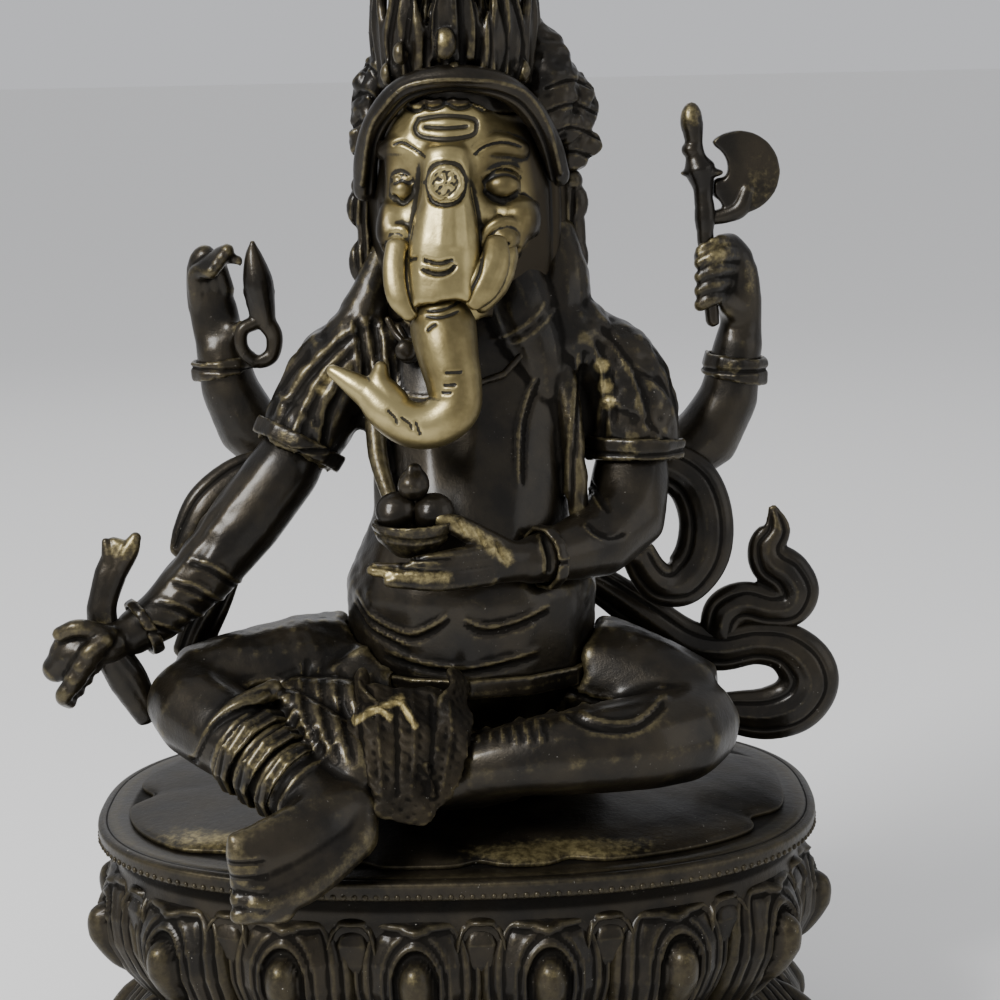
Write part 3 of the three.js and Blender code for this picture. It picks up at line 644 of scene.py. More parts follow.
class IdolStage(bpy.types.PropertyGroup):
    """Floor, lights and camera."""

    floor: colour("Floor", "Colour of the floor", (0.90, 0.895, 0.88))
    key: bpy.props.FloatProperty(
        name="Key light", description="Power of the main light", default=22.0, unit="POWER",
    )
    fill: bpy.props.FloatProperty(
        name="Fill light", description="Power of the soft side light", default=3.0, unit="POWER",
    )
    lens: bpy.props.FloatProperty(
        name="Lens", description="Focal length of the camera in millimetres", default=85.0,
    )


# ---------------------------------------------------------------- the seat's own frame
FORWARD = 8.0  # the figure sits this far in front of the pedestal's middle
SEAT_TOP = corners("lotus_pedestal")[1][2]


def seated(rows):
    """Rows of x, y, z and sizes counted from the seat under the figure, moved to their real place."""
    rows = [list(row) for row in rows]
    for row in rows:
        row[1] -= FORWARD
        row[2] += SEAT_TOP
    return rows


# ---------------------------------------------------------------- pedestal
def oval_outline(inset, count, phase=0.0):
    """Points evenly spaced along the pedestal's oval, starting a share of one step along."""
    settings = bpy.context.scene.idol_pedestal
    reach = corners("lotus_pedestal")[1][:2] - 6.0 - inset
    angle = np.linspace(0, 2 * math.pi, 4001)
    n = settings.squareness
    radius = (np.abs(np.cos(angle) / reach[0]) ** n + np.abs(np.sin(angle) / reach[1]) ** n) ** (-1 / n)
    line = np.stack([radius * np.cos(angle), radius * np.sin(angle)], axis=1)
    travelled = np.concatenate([[0], np.cumsum(np.linalg.norm(np.diff(line, axis=0), axis=1))])
    stops = (np.arange(count) + phase) / count * travelled[-1]
    return np.stack([np.interp(stops % travelled[-1], travelled, line[:, k]) for k in range(2)], axis=1)


def grid_quads(rows, columns, closed=True):
    """Square faces between rows of points; each row is a ring when closed."""
    last = columns if closed else columns - 1
    r, c = np.meshgrid(np.arange(rows - 1), np.arange(last), indexing="ij")
    a, b = r * columns + c, r * columns + (c + 1) % columns
    return np.stack([a, b, b + columns, a + columns], axis=-1).reshape(-1, 4)


def pedestal_profile():
    """Rows of height and inset of the body behind the petals, from the foot to the top's edge."""
    settings = bpy.context.scene.idol_pedestal
    waist, inset = settings.waist, settings.waist_inset
    return [
        (0.2, 4.0), (0.6, 2.6), (4.4, 2.6), (5.2, 4.4), (8.0, 5.0), (14.0, 3.0), (22.0, 4.0), (32.0, 11.0),
        (waist - 3, inset), (waist + 3, inset), (50.0, 12.5), (60.0, 8.0), (70.0, 5.6), (78.0, 5.0),
        (83.0, 5.6), (86.6, 5.8), (89.2, 4.6), (90.2, 2.2), (91.0, 1.0), (94.6, 0.5), (95.5, 0.9),
        (SEAT_TOP, 2.0),
    ]


def worn_surface(mesh, rounds=(2, 6)):
    """Writes how far each point stands out of its surroundings, for the finish."""
    points = read(mesh.vertices, "co", 3) / MM
    normals = read(mesh.vertices, "normal", 3)
    a, b = read(mesh.edges, "vertices", 2, int).T
    degree = np.maximum(np.bincount(a, minlength=len(points)) + np.bincount(b, minlength=len(points)), 1)
    edge = np.zeros(len(points))
    spread = points
    for i in range(max(rounds)):
        spread = np.stack(
            [
                np.bincount(a, spread[b, k], len(points)) + np.bincount(b, spread[a, k], len(points))
                for k in range(3)
            ],
            axis=1,
        ) / degree[:, None]
        if i + 1 in rounds:
            edge += np.einsum("ij,ij->i", points - spread, normals) * 2.4
    set_values(mesh, "edge", np.clip(edge, -1, 1))


class IDOL_OT_pedestal(bpy.types.Operator):
    """Make the pedestal's body with its flat underside and its incised top"""

    bl_idname = "idol.pedestal"
    bl_label = "Pedestal body"

    def execute(self, context):
        sides = 420
        rows = [
            (z, inset)
            for z, inset in smooth_path([(z, inset, 0.0) for z, inset in pedestal_profile()], 1.1)[:, :2]
        ]
        top = [
            (SEAT_TOP + 0.15, 2.6), (SEAT_TOP - 0.25, 3.2), (SEAT_TOP + 0.2, 3.8), (SEAT_TOP + 0.25, 6.0),
            (SEAT_TOP + 0.2, 12.0),
        ]
        rings = [np.column_stack([oval_outline(inset, sides), np.full(sides, z)]) for z, inset in rows + top]
        clay = np.vstack(rings)
        roof = np.array([[0.0, 0.0, SEAT_TOP + 0.2]])
        under = np.array([[0.0, 0.0, 0.2]])
        points = np.vstack([clay, roof, under])
        mesh = bpy.data.meshes.new("pedestal_body")
        last = (len(rings) - 1) * sides
        faces = grid_quads(len(rings), sides).tolist()
        faces += [(last + i, last + (i + 1) % sides, len(clay)) for i in range(sides)]
        faces += [((i + 1) % sides, i, len(clay) + 1) for i in range(sides)]
        mesh.from_pydata((points * MM).tolist(), [], faces)
        set_values(mesh, "bare_and_shade", np.zeros(len(points)))
        worn_surface(mesh)
        place("pedestal_body", mesh, FINISHES["pedestal"], ["lotus_pedestal"], "patinated_bronze")
        return {"FINISHED"}


def petal_sheet(half_width, low, high, turned_down=False, boss=1.0):
    """One lotus petal: x across, y outward from the rim's oval and z up, closed behind."""
    columns, rows = 46, 54
    height = high - low
    u = np.linspace(-1, 1, columns)
    v = np.linspace(0, 1, rows)
    U, V = np.meshgrid(u, v)
    shoulder = 0.58
    full = np.where(V < shoulder, 0.72 + 0.28 * np.sin(np.clip(V / shoulder, 0, 1) * math.pi / 2), 1.0)
    crown_ = np.clip((V - shoulder) / (1 - shoulder), 0, 1)
    half = half_width * full * (1 - crown_**2.6) ** (1 / 2.2)
    half = np.maximum(half, half_width * 0.10)
    X = U * half
    Z = low + V * height
    # the petal leans out from the waist, is fullest above its middle and curls in at its lip
    lean = np.interp(
        V, [0, 0.12, 0.30, 0.50, 0.68, 0.84, 0.94, 1.0], [-13.5, -9.0, -3.6, 0.6, 1.6, 0.2, -2.0, -4.4],
    )
    belly = 3.0 * (1 - np.abs(U) ** 2.2) * np.sin(np.clip(V * 1.05, 0, 1) * math.pi) ** 0.5
    side = (1 - np.abs(U)) * half_width * full
    top = (1 - V) * height
    rim = np.minimum(side, top * 0.9 + np.abs(X) * 0.12)
    relief = 1.15 * np.exp(-(((rim - 1.1) / 0.9) ** 2)) - 0.9 * np.exp(-(((rim - 2.7) / 0.7) ** 2))
    relief += 0.45 * np.exp(-(((rim - 4.3) / 0.75) ** 2)) - 0.5 * np.exp(-(((rim - 6.0) / 0.9) ** 2))
    middle = low + 0.57 * height
    b = np.sqrt((X / 5.0) ** 2 + ((Z - middle) / np.where(Z > middle, 7.4, 16.0)) ** 2)
    relief += 4.6 * boss * np.sqrt(np.clip(1 - b**2, 0, 1))
    relief += 1.2 * np.exp(-(
        (((b - 1.42) * 5.0) / 0.8) ** 2
    )) - 0.7 * np.exp(-((((b - 1.18) * 5.0) / 0.6) ** 2))
    relief += 0.6 * np.exp(-((((b - 1.95) * 5.0) / 0.7) ** 2)) * (V < 0.9)
    lip = 1.5 * np.exp(-(((V - 0.93) / 0.05) ** 2)) * (np.abs(U) < 0.92)
    tip = 1.5 * np.exp(-(((V - 0.86) / 0.05) ** 2) - (X / 2.4) ** 2)
    Y = lean + belly + 1.25 * relief * np.clip(1.2 - np.abs(U) ** 6, 0, 1) + lip + tip - 3.4 * np.abs(U) ** 4
    bare_and_shade = np.clip(1.05 - b, 0, 1) * np.clip((Z - middle - 1) / 4.0, 0, 1) * 0.8 * boss
    front = np.stack([X, Y, Z], axis=-1).reshape(-1, 3)
    back = np.stack([X * 0.93, np.interp(V, [0, 0.45, 1.0], [-17.0, -10.0, -6.4]), Z], axis=-1).reshape(-1, 3)
    quads = grid_quads(rows, columns, closed=False)
    count = len(front)
    edge_line = list(range(columns)) + [r * columns + columns - 1 for r in range(1, rows)]
    edge_line += [
        (rows - 1) * columns + c for c in range(columns - 2, -1, -1)
    ] + [r * columns for r in range(rows - 2, 0, -1)]
    loop = np.array(edge_line)
    walls = np.stack([loop, loop + count, np.roll(loop, -1) + count, np.roll(loop, -1)], axis=1)
    points = np.vstack([front, back])
    faces = np.vstack([quads[:, ::-1], quads + count, walls[:, ::-1]])
    if turned_down:
        points = points * (1, 1, -1) + (0, 0, low + high)
        faces = faces[:, ::-1]
    mesh = quad_mesh("petal", points * MM, faces)
    set_values(mesh, "bare_and_shade", np.concatenate([bare_and_shade.ravel(), np.zeros(count)]))
    worn_surface(mesh)
    return mesh


def along_oval(name, inset, height, count, phase, item, material, size_spread=0.0, tilt_spread=0.0):
    """Sets copies of an item side by side along the pedestal's oval, and returns the mesh."""
    outline = oval_outline(inset, 720, phase * 720 / count + 1)
    guide_mesh = bpy.data.meshes.new(f"{name}_guide")
    ring = [(x * MM, y * MM, height * MM) for x, y in outline[::-1]]
    guide_mesh.from_pydata(ring, [(i, (i + 1) % len(ring)) for i in range(len(ring))], [])
    guide = bpy.data.objects.new(f"{name}_guide", guide_mesh)
    bpy.context.collection.objects.link(guide)
    item_object = bpy.data.objects.new(f"{name}_item", item)
    bpy.context.collection.objects.link(item_object)

    tree = bpy.data.node_groups.new(f"{name}_row", "GeometryNodeTree")
    sockets = {}
    for label, kind in (
        ("Geometry", "NodeSocketGeometry"), ("Count", "NodeSocketInt"), ("Item", "NodeSocketObject"),
        ("Size spread", "NodeSocketFloat"), ("Tilt spread", "NodeSocketFloat"),
    ):
        sockets[label] = tree.interface.new_socket(label, in_out="INPUT", socket_type=kind)
    tree.interface.new_socket("Geometry", in_out="OUTPUT", socket_type="NodeSocketGeometry")
    nodes, link = tree.nodes, tree.links.new
    inputs, outputs = nodes.new("NodeGroupInput"), nodes.new("NodeGroupOutput")
    curve = nodes.new("GeometryNodeMeshToCurve")
    spaced = nodes.new("GeometryNodeResampleCurve")
    tangent = nodes.new("GeometryNodeInputTangent")
    turn = nodes.new("FunctionNodeAlignEulerToVector")
    turn.axis = "X"
    turn.pivot_axis = "Z"
    held = nodes.new("GeometryNodeCaptureAttribute")
    held.capture_items.new("VECTOR", "tangent")
    shape = nodes.new("GeometryNodeObjectInfo")
    setter = nodes.new("GeometryNodeInstanceOnPoints")
    sizes = nodes.new("FunctionNodeRandomValue")
    sizes.inputs["Seed"].default_value = 3
    lowest = nodes.new("ShaderNodeMath")
    lowest.operation = "SUBTRACT"
    lowest.inputs[0].default_value = 1.0
    tilts = nodes.new("FunctionNodeRandomValue")
    tilts.inputs["Seed"].default_value = 8
    negative = nodes.new("ShaderNodeMath")
    negative.operation = "MULTIPLY"
    negative.inputs[1].default_value = -1.0
    twist = nodes.new("GeometryNodeRotateInstances")
    angles = nodes.new("ShaderNodeCombineXYZ")
    real = nodes.new("GeometryNodeRealizeInstances")
    finish = nodes.new("GeometryNodeSetMaterial")
    finish.inputs["Material"].default_value = material
    link(inputs.outputs["Geometry"], curve.inputs["Mesh"])
    link(curve.outputs["Curve"], spaced.inputs["Curve"])
    link(inputs.outputs["Count"], spaced.inputs["Count"])
    link(spaced.outputs["Curve"], held.inputs["Geometry"])
    link(tangent.outputs["Tangent"], held.inputs["tangent"])
    link(held.outputs["tangent"], turn.inputs["Vector"])
    link(held.outputs["Geometry"], setter.inputs["Points"])
    link(inputs.outputs["Item"], shape.inputs["Object"])
    link(shape.outputs["Geometry"], setter.inputs["Instance"])
    link(turn.outputs["Rotation"], setter.inputs["Rotation"])
    link(inputs.outputs["Size spread"], lowest.inputs[1])
    link(lowest.outputs[0], sizes.inputs[2])
    link(sizes.outputs[1], setter.inputs["Scale"])
    link(inputs.outputs["Tilt spread"], negative.inputs[0])
    link(negative.outputs[0], tilts.inputs[2])
    link(inputs.outputs["Tilt spread"], tilts.inputs[3])
    link(tilts.outputs[1], angles.inputs["Y"])
    link(setter.outputs["Instances"], twist.inputs["Instances"])
    link(angles.outputs[0], twist.inputs["Rotation"])
    link(twist.outputs["Instances"], real.inputs["Geometry"])
    link(real.outputs["Geometry"], finish.inputs["Geometry"])
    link(finish.outputs["Geometry"], outputs.inputs[0])

    row = guide.modifiers.new("row", "NODES")
    row.node_group = tree
    for label, value in (
        ("Count", count), ("Item", item_object), ("Size spread", size_spread), ("Tilt spread", tilt_spread),
    ):
        row[sockets[label].identifier] = value
    guide.update_tag()
    mesh = bpy.data.meshes.new_from_object(guide.evaluated_get(bpy.context.evaluated_depsgraph_get()))
    mesh.name = name
    bpy.data.objects.remove(guide)
    bpy.data.objects.remove(item_object)
    return mesh


class IDOL_OT_petals(bpy.types.Operator):
    """Set the rows of lotus petals and the row of beads round the pedestal"""

    bl_idname = "idol.petals"
    bl_label = "Petals and beads"

    def execute(self, context):
        settings = context.scene.idol_pedestal
        finish = FINISHES["pedestal"]
        girth = np.linalg.norm(np.diff(oval_outline(0, 400), axis=0), axis=1).sum()
        half = girth / settings.petals / 2
        upper = petal_sheet(half * 0.97, settings.waist - 1, 85.5)
        lower = petal_sheet(half * 0.97, 4.6, settings.waist + 1, turned_down=True)
        behind = petal_sheet(half * 0.55, settings.waist + 12, 87.0, boss=0.0)
        for name, item, phase in (
            ("petals_upper", upper, settings.phase),
            ("petals_lower", lower, settings.phase),
            ("petals_between", behind, settings.phase + 0.5),
        ):
            inset = 7.5 if name == "petals_between" else 5.0
            mesh = along_oval(name, inset, 0.0, settings.petals, phase, item, finish)
            place(name, mesh, finish, [], "patinated_bronze")
        size = settings.bead_size / 2
        bead = Clay().ball((0, 0, 0), (size * 0.95, size * 0.8, size * 0.95), sides=8)
        mesh = bpy.data.meshes.new("bead")
        mesh.from_pydata((bead.points * MM).tolist(), [], bead.faces)
        count = int(girth / settings.bead_pitch)
        mesh = along_oval("rim_beads", 0.9, 91.6, count, 0.0, mesh, finish, 0.25, 0.5)
        set_values(mesh, "bare_and_shade", np.zeros(len(mesh.vertices)))
        worn_surface(mesh, (1, 2))
        place("rim_beads", mesh, finish, [], "patinated_bronze")
        return {"FINISHED"}


class IDOL_OT_seat(bpy.types.Operator):
    """Make the low seat of lotus leaves that the figure sits on"""

    bl_idname = "idol.seat"
    bl_label = "Leaf seat"

    def execute(self, context):
        low, high = corners("seat_cushion")
        sides, rings = 420, 70
        outline = oval_outline(10.0, sides)
        angle = np.arctan2(outline[:, 1], outline[:, 0])
        # angles of the notches between the leaves
        notches = np.radians([-180, -141, -112, -84, -63, -20, 20, 60, 100, 140])
        nearest = np.min(
            np.abs((angle[:, None] - notches[None, :] + math.pi) % (2 * math.pi) - math.pi), axis=1,
        )
        reach = 1.0 - 0.06 * np.exp(-((nearest / 0.07) ** 2))
        s = np.concatenate([
            np.linspace(0.02, 0.955, rings - 8), [0.972, 0.984, 0.992, 0.997, 1.0, 1.0, 0.999, 0.996],
        ])
        lift = np.interp(
            s[:-3], [0, 0.5, 0.8, 0.93, 0.965, 0.985, 1.0], [1.0, 0.84, 0.52, 0.33, 0.27, 0.20, 0.14],
        )
        drop = np.array([0.08, 0.03, 0.0])
        heights = low[2] + (high[2] - low[2]) * np.concatenate([lift, drop])
        points, bare_and_shade = [], []
        for share, z in zip(s, heights):
            inner = np.clip((share - 0.6) / 0.4, 0, 1)
            ring = outline * (share * (1 - inner + inner * reach))[:, None]
            x, y = ring.T
            wave = 0.10 * np.sin(x * 0.13 + 1.0) * np.cos(y * 0.17) + 0.04 * np.sin(x * 0.41 + y * 0.33)
            points.append(np.column_stack([ring, np.full(sides, z) + wave * (share < 0.99)]))
            front = np.clip((-y - 20) / 25, 0, 1) * np.exp(-(((share - 0.93) / 0.09) ** 2))
            bare_and_shade.append(front * (0.36 + 0.34 * np.sin(angle * 5.0 + 1.1)))
        points = np.vstack(points + [np.array([[0.0, 0.0, high[2]], [0.0, 0.0, low[2]]])])
        last, top, foot = (len(s) - 1) * sides, len(points) - 2, len(points) - 1
        faces = grid_quads(len(s), sides)[:, ::-1].tolist()
        faces += [(i, (i + 1) % sides, top) for i in range(sides)]
        faces += [(last + (i + 1) % sides, last + i, foot) for i in range(sides)]
        mesh = bpy.data.meshes.new("leaf_seat")
        mesh.from_pydata((points * MM).tolist(), [], faces)
        set_values(mesh, "bare_and_shade", np.concatenate(bare_and_shade + [np.zeros(2)]))
        worn_surface(mesh)
        place("leaf_seat", mesh, FINISHES["seat"], ["seat_cushion"], "patinated_bronze")
        return {"FINISHED"}


# ---------------------------------------------------------------- figure
def cast(nodes, voxel, extra=None, coarse=2.0, rounds=8):
    """A casting's clay: the facets of its solids ironed out, then the extra shapes worked in."""
    clay = Clay(*nodes).skin(coarse, 1).relax(rounds)
    if extra:
        extra(clay)
    return clay.skin(voxel, 2)


class IDOL_OT_legs(bpy.types.Operator):
    """Model the crossed leg, the lowered leg with its foot, and the trousers' hems"""

    bl_idname = "idol.legs"
    bl_label = "Legs"

    def execute(self, context):
        skins = context.scene.idol_modelling

        def extra(clay):
            # a broad foot lying over the rim, its five toes one above the other
            for k in range(4):
                drop = 4.3 * k
                foot = [
                    [-26, -66 - 1.6 * k, 20 - drop * 0.5, 6.0], [-40, -75 - 1.5 * k, 17 - drop, 6.0],
                    [-53, -81 - 1.6 * k, 12.5 - drop, 4.6],
                ]
                clay.bar(seated(foot), sides=14)
            for k in range(5):
                z = 14.6 - 4.3 * k
                toe = [
                    [-46, -78 - 1.4 * k, z - 0.2, 3.4], [-55.5, -81.0 - 1.3 * k, z, 2.9],
                    [-58.0, -81.6 - 1.3 * k, z, 2.6],
                ]
                clay.bar(seated(toe), sides=12)
            # cloth bunched between the thighs and over the lowered knee
            clay.bar(seated([[-44, -34, 44, 6], [-32, -38, 41, 9], [-20, -42, 38, 9], [-8, -46, 36, 8]]))
            clay.bar(seated([[-46, -44, 44, 5], [-34, -52, 35, 8], [-26, -58, 27, 8]]))
            clay.bar(seated([
                [-72, -25, 28, 3], [-71, -45, 34, 3.4], [-61, -52, 45, 3.2], [-50, -46, 50, 2.6],
            ]))

        clay = cast(["lower_body"], skins.large, extra)
        # folds of cloth over the lap and round the lowered shin
        hem = [(-72, 128), (-66, 139), (-57, 144), (-46, 143)]
        clay.stroke(hem, 1.1, 0.9).stroke([(x - 1.2, z - 2.6) for x, z in hem], 0.9, -0.8)
        for i in range(7):
            for shift, width, height in ((0, 0.9, 0.8), (2, 0.8, -0.8)):
                fold = [
                    (5 + shift + 4.2 * i, 151 - 0.3 * i), (3 + shift + 3.4 * i, 140),
                    (4 + shift + 3.6 * i, 131),
                ]
                clay.stroke(fold, width, height, taper=0.3)
        for i in range(5):
            clay.grooved(
                [(-44 + 5 * i, 150 - i), (-42 + 5 * i, 140), (-36 + 4 * i, 128)], 1.0, 0.8, taper=0.3,
            )
        # nails and the gaps between the toes
        for i in range(4):
            z = 108.6 - 4.3 * i
            clay.stroke([(-61, z), (-54, z), (-49.5, z - 0.4)], 0.5, -0.5, taper=0.1)
        clay.stroke([(28, 143), (33, 138), (42, 134.5), (52, 134), (60, 138)], 0.8, -0.9)
        clay.stroke([(28, 144.5), (33, 139.5), (42, 136), (52, 135.5), (61, 139.5)], 0.8, 0.7)
        clay.stroke([(34, 152), (28, 146), (25, 138)], 1.0, 0.9, taper=0.3)
        clay.rough(4.0, 0.12, seed=4, where=np.clip((clay.points[:, 2] - 146) / 10, 0, 1))
        for k in range(8):
            clay.grooved(
                [(-26 + 9 * k, 142), (-30 + 10 * k, 126), (-36 + 12 * k, 106)], 1.2, 1.0, (2.8, 0.0),
                view="back", taper=0.15,
            )
        clay.rings_round((-60, -55, 131), (-39, -70, 119), 7, 0.8, 0.8, radius=17)
        clay.finish("legs", FINISHES["bronze"], ["lower_body"])
        # anklets: each is a pair of thin wires side by side
        for name in ("anklet_1", "anklet_2", "anklet_3"):
            low, high = corners(name)
            ring = Clay(name).skin(0.6, 1).relax(4)
            axis = np.array((10.0, -8.5, -4.0)) / np.linalg.norm((10.0, -8.5, -4.0))
            along = (ring.points - (low + high) / 2) @ axis
            groove = np.exp(-((along / 0.75) ** 2)) + np.exp(-(((np.abs(along) - 3.0) / 0.7) ** 2))
            ring.points -= ring.normals * (0.5 * groove)[:, None]
            ring.ink = groove * 0.35
            ring.rub(spot(name, 0.35, 0.1, 0.75), (9, 14, 9), 0.36)
            ring.finish(name.replace("_", "_band_"), FINISHES["bronze"], [name])
        return {"FINISHED"}


class IDOL_OT_torso(bpy.types.Operator):
    """Model the body with its shawl, belly folds and draped sleeves"""

    bl_idname = "idol.torso"
    bl_label = "Torso"

    def execute(self, context):
        skins = context.scene.idol_modelling

        def extra(clay):
            clay.bar(seated([
                [-16, -6, 144, 4], [-20, -12, 128, 3.6], [-20, -19, 112, 3.0], [-16, -26, 98, 2.4],
            ]))
            clay.bar(seated([[30, -4, 146, 4], [35, -12, 128, 3.6], [37, -16, 110, 3.4], [38, -18, 92, 3.0]]))
            # hair and veil that join the head to the shoulders
            clay.bar(seated([[33, 2, 172, 6.5], [34, 0, 160, 9], [33, -1, 150, 11], [38, -1, 142, 12]]))
            clay.bar(seated([[18, -4, 164, 10], [22, -6, 152, 11], [26, -7, 140, 10], [28, -8, 130, 8]]))
            clay.bar(seated([[-18, 2, 168, 4], [-21, 0, 158, 6], [-24, -1, 149, 8], [-28, -2, 142, 9]]))

        clay = cast(["torso"], skins.large * 0.9, extra)
        # the belly's folds over the girdle
        for path in (
            [(-27.2, 168), (-23, 162), (-12.3, 158.3), (-4, 161.5), (0, 165.3)],
            [(-28, 165.4), (-23.2, 159), (-11.3, 154.3)],
            [(3.7, 163.6), (10.2, 160.6), (18, 161.6), (29, 165.3)], [(-20, 152), (2, 148.5), (26, 152)],
        ):
            clay.stroke(path, 0.8, 0.9, taper=0.2)
            clay.stroke([(x, z - 2.0) for x, z in path], 0.9, -0.8, taper=0.2)
        # shawl edges beside the chest and the pleats over the shoulder
        for path in (
            [(26, 229), (22.1, 219), (20.8, 212), (20.4, 198)], [(39, 236), (37, 220), (35, 204), (34, 190)],
            [(46, 232), (45, 218), (43, 205)],
        ):
            clay.grooved(path, 0.8, 0.6, taper=0.15)
        for path in (
            [(30, 251), (25.8, 246), (18.5, 241.2), (12.8, 239)],
            [(32.7, 249), (28.6, 244), (22, 239.5), (17.6, 238)],
        ):
            clay.stroke(path, 0.8, 0.4, taper=0.2)
        for k in range(5):
            x = -27.3 + 2.1 * k
            clay.stroke(
                [(x, 246.6), (x + 1.4, 238), (x + 3.4, 222 - k)], 0.6, -0.9 if k % 2 else 0.8, taper=0.1,
            )
        chest = [(-14.3, 231), (-13.9, 236), (-4.3, 235), (-3.3, 224.5), (-12.6, 224.5), (-14.3, 231)]
        clay.stroke(chest, 0.6, 0.7)
        clay.stroke([(-16.3, 250.4), (-12.4, 245.5), (-7.3, 242.1)], 0.8, 1.2)
        # drapery of the sleeves: long uneven folds from the shoulder to the armband
        for fold in (
            [(-22, 246), (-33, 239), (-45, 226), (-53, 212)],
            [(-26, 240), (-36, 230), (-43, 217), (-46, 206)], [(-40, 240), (-50, 228), (-56, 215)],
            [(-30, 232), (-36, 219), (-38, 207)], [(-52, 224), (-44, 222), (-37, 214)],
            [(38, 247), (48, 238), (55, 226), (58, 210)], [(42, 240), (46, 228), (47, 212)],
            [(56, 240), (64, 228), (67, 212)], [(50, 233), (60, 227), (66, 219)],
            [(44, 221), (54, 217), (64, 208)],
        ):
            for view in ("front", "back"):
                clay.grooved(fold, 1.1, 0.65, (2.0, -1.2), view=view, taper=0.25)
        sleeve = np.clip((np.abs(clay.points[:, 0] - 7) - 28) / 8, 0, 1)
        clay.rough(6.0, 0.22, seed=2, where=sleeve)
        # what shows of the back: the shawl's fall
        for k in range(6):
            groove = [(-20 + 10 * k, 244), (-16 + 9 * k, 222), (-14 + 8 * k, 196), (-12 + 7.6 * k, 168)]
            fold = [(-15 + 10 * k, 244), (-11.5 + 9 * k, 222), (-10 + 8 * k, 196), (-8 + 7.6 * k, 168)]
            clay.stroke(groove, 1.1, -0.8, view="back", taper=0.1)
            clay.stroke(fold, 1.3, 0.6, view="back", taper=0.1)
        for x, z in ((-34.5, 229), (-36.0, 226), (45.6, 231), (46.6, 225), (47.4, 220)):
            clay.swell((x, -12, z), (2.2, 9, 2.0), 0.8).rub((x, -14, z), (2.6, 12, 2.4), 0.8)
        clay.finish("torso_body", FINISHES["bronze"], ["torso"])
        belt = Clay("belt").skin(0.6, 2)
        belt.rub_stroke([(-34, 143), (6, 141), (44, 143)], 1.0, 0.3)
        belt.finish("belt_band", FINISHES["bronze"], ["belt"])

        def ragged(clay):
            for row in (
                [[-26, -40, 50, 5], [-24, -52, 41, 6], [-26, -61, 28, 4]],
                [[2, -42, 50, 5], [1, -52, 42, 6], [-1, -61, 30, 4.5]],
                [[-19, -60, 30, 5], [-20, -66, 22, 2.4]], [[-7, -62, 28, 6], [-5, -67.5, 24, 2.4]],
            ):
                clay.bar(seated(row), flat=0.35, depth_axis=(0, 1, 0.7))

        cloth = cast(["lap_cloth"], skins.small, ragged, coarse=1.2, rounds=2)
        cloth.rough(9.0, 0.5, seed=7).rough(2.2, 0.12, seed=8)
        for i in range(6):
            cloth.stroke(
                [(-26 + 5 * i, 146), (-25 + 5 * i, 134), (-23 + 4 * i, 119)], 0.8, 0.5 if i % 2 else -0.6,
                taper=0.2,
            )
        for sprig in (
            [(-27, 138), (-22, 140.5), (-14, 142.8)], [(-14, 142.8), (-10, 137)], [(-20, 141), (-17, 139)],
        ):
            cloth.stroke(sprig, 0.8, 1.1, taper=0.2).rub_stroke(sprig, 1.0, 1.0)
        cloth.finish("lap_cloth_end", FINISHES["cloth"], ["lap_cloth"])
        return {"FINISHED"}


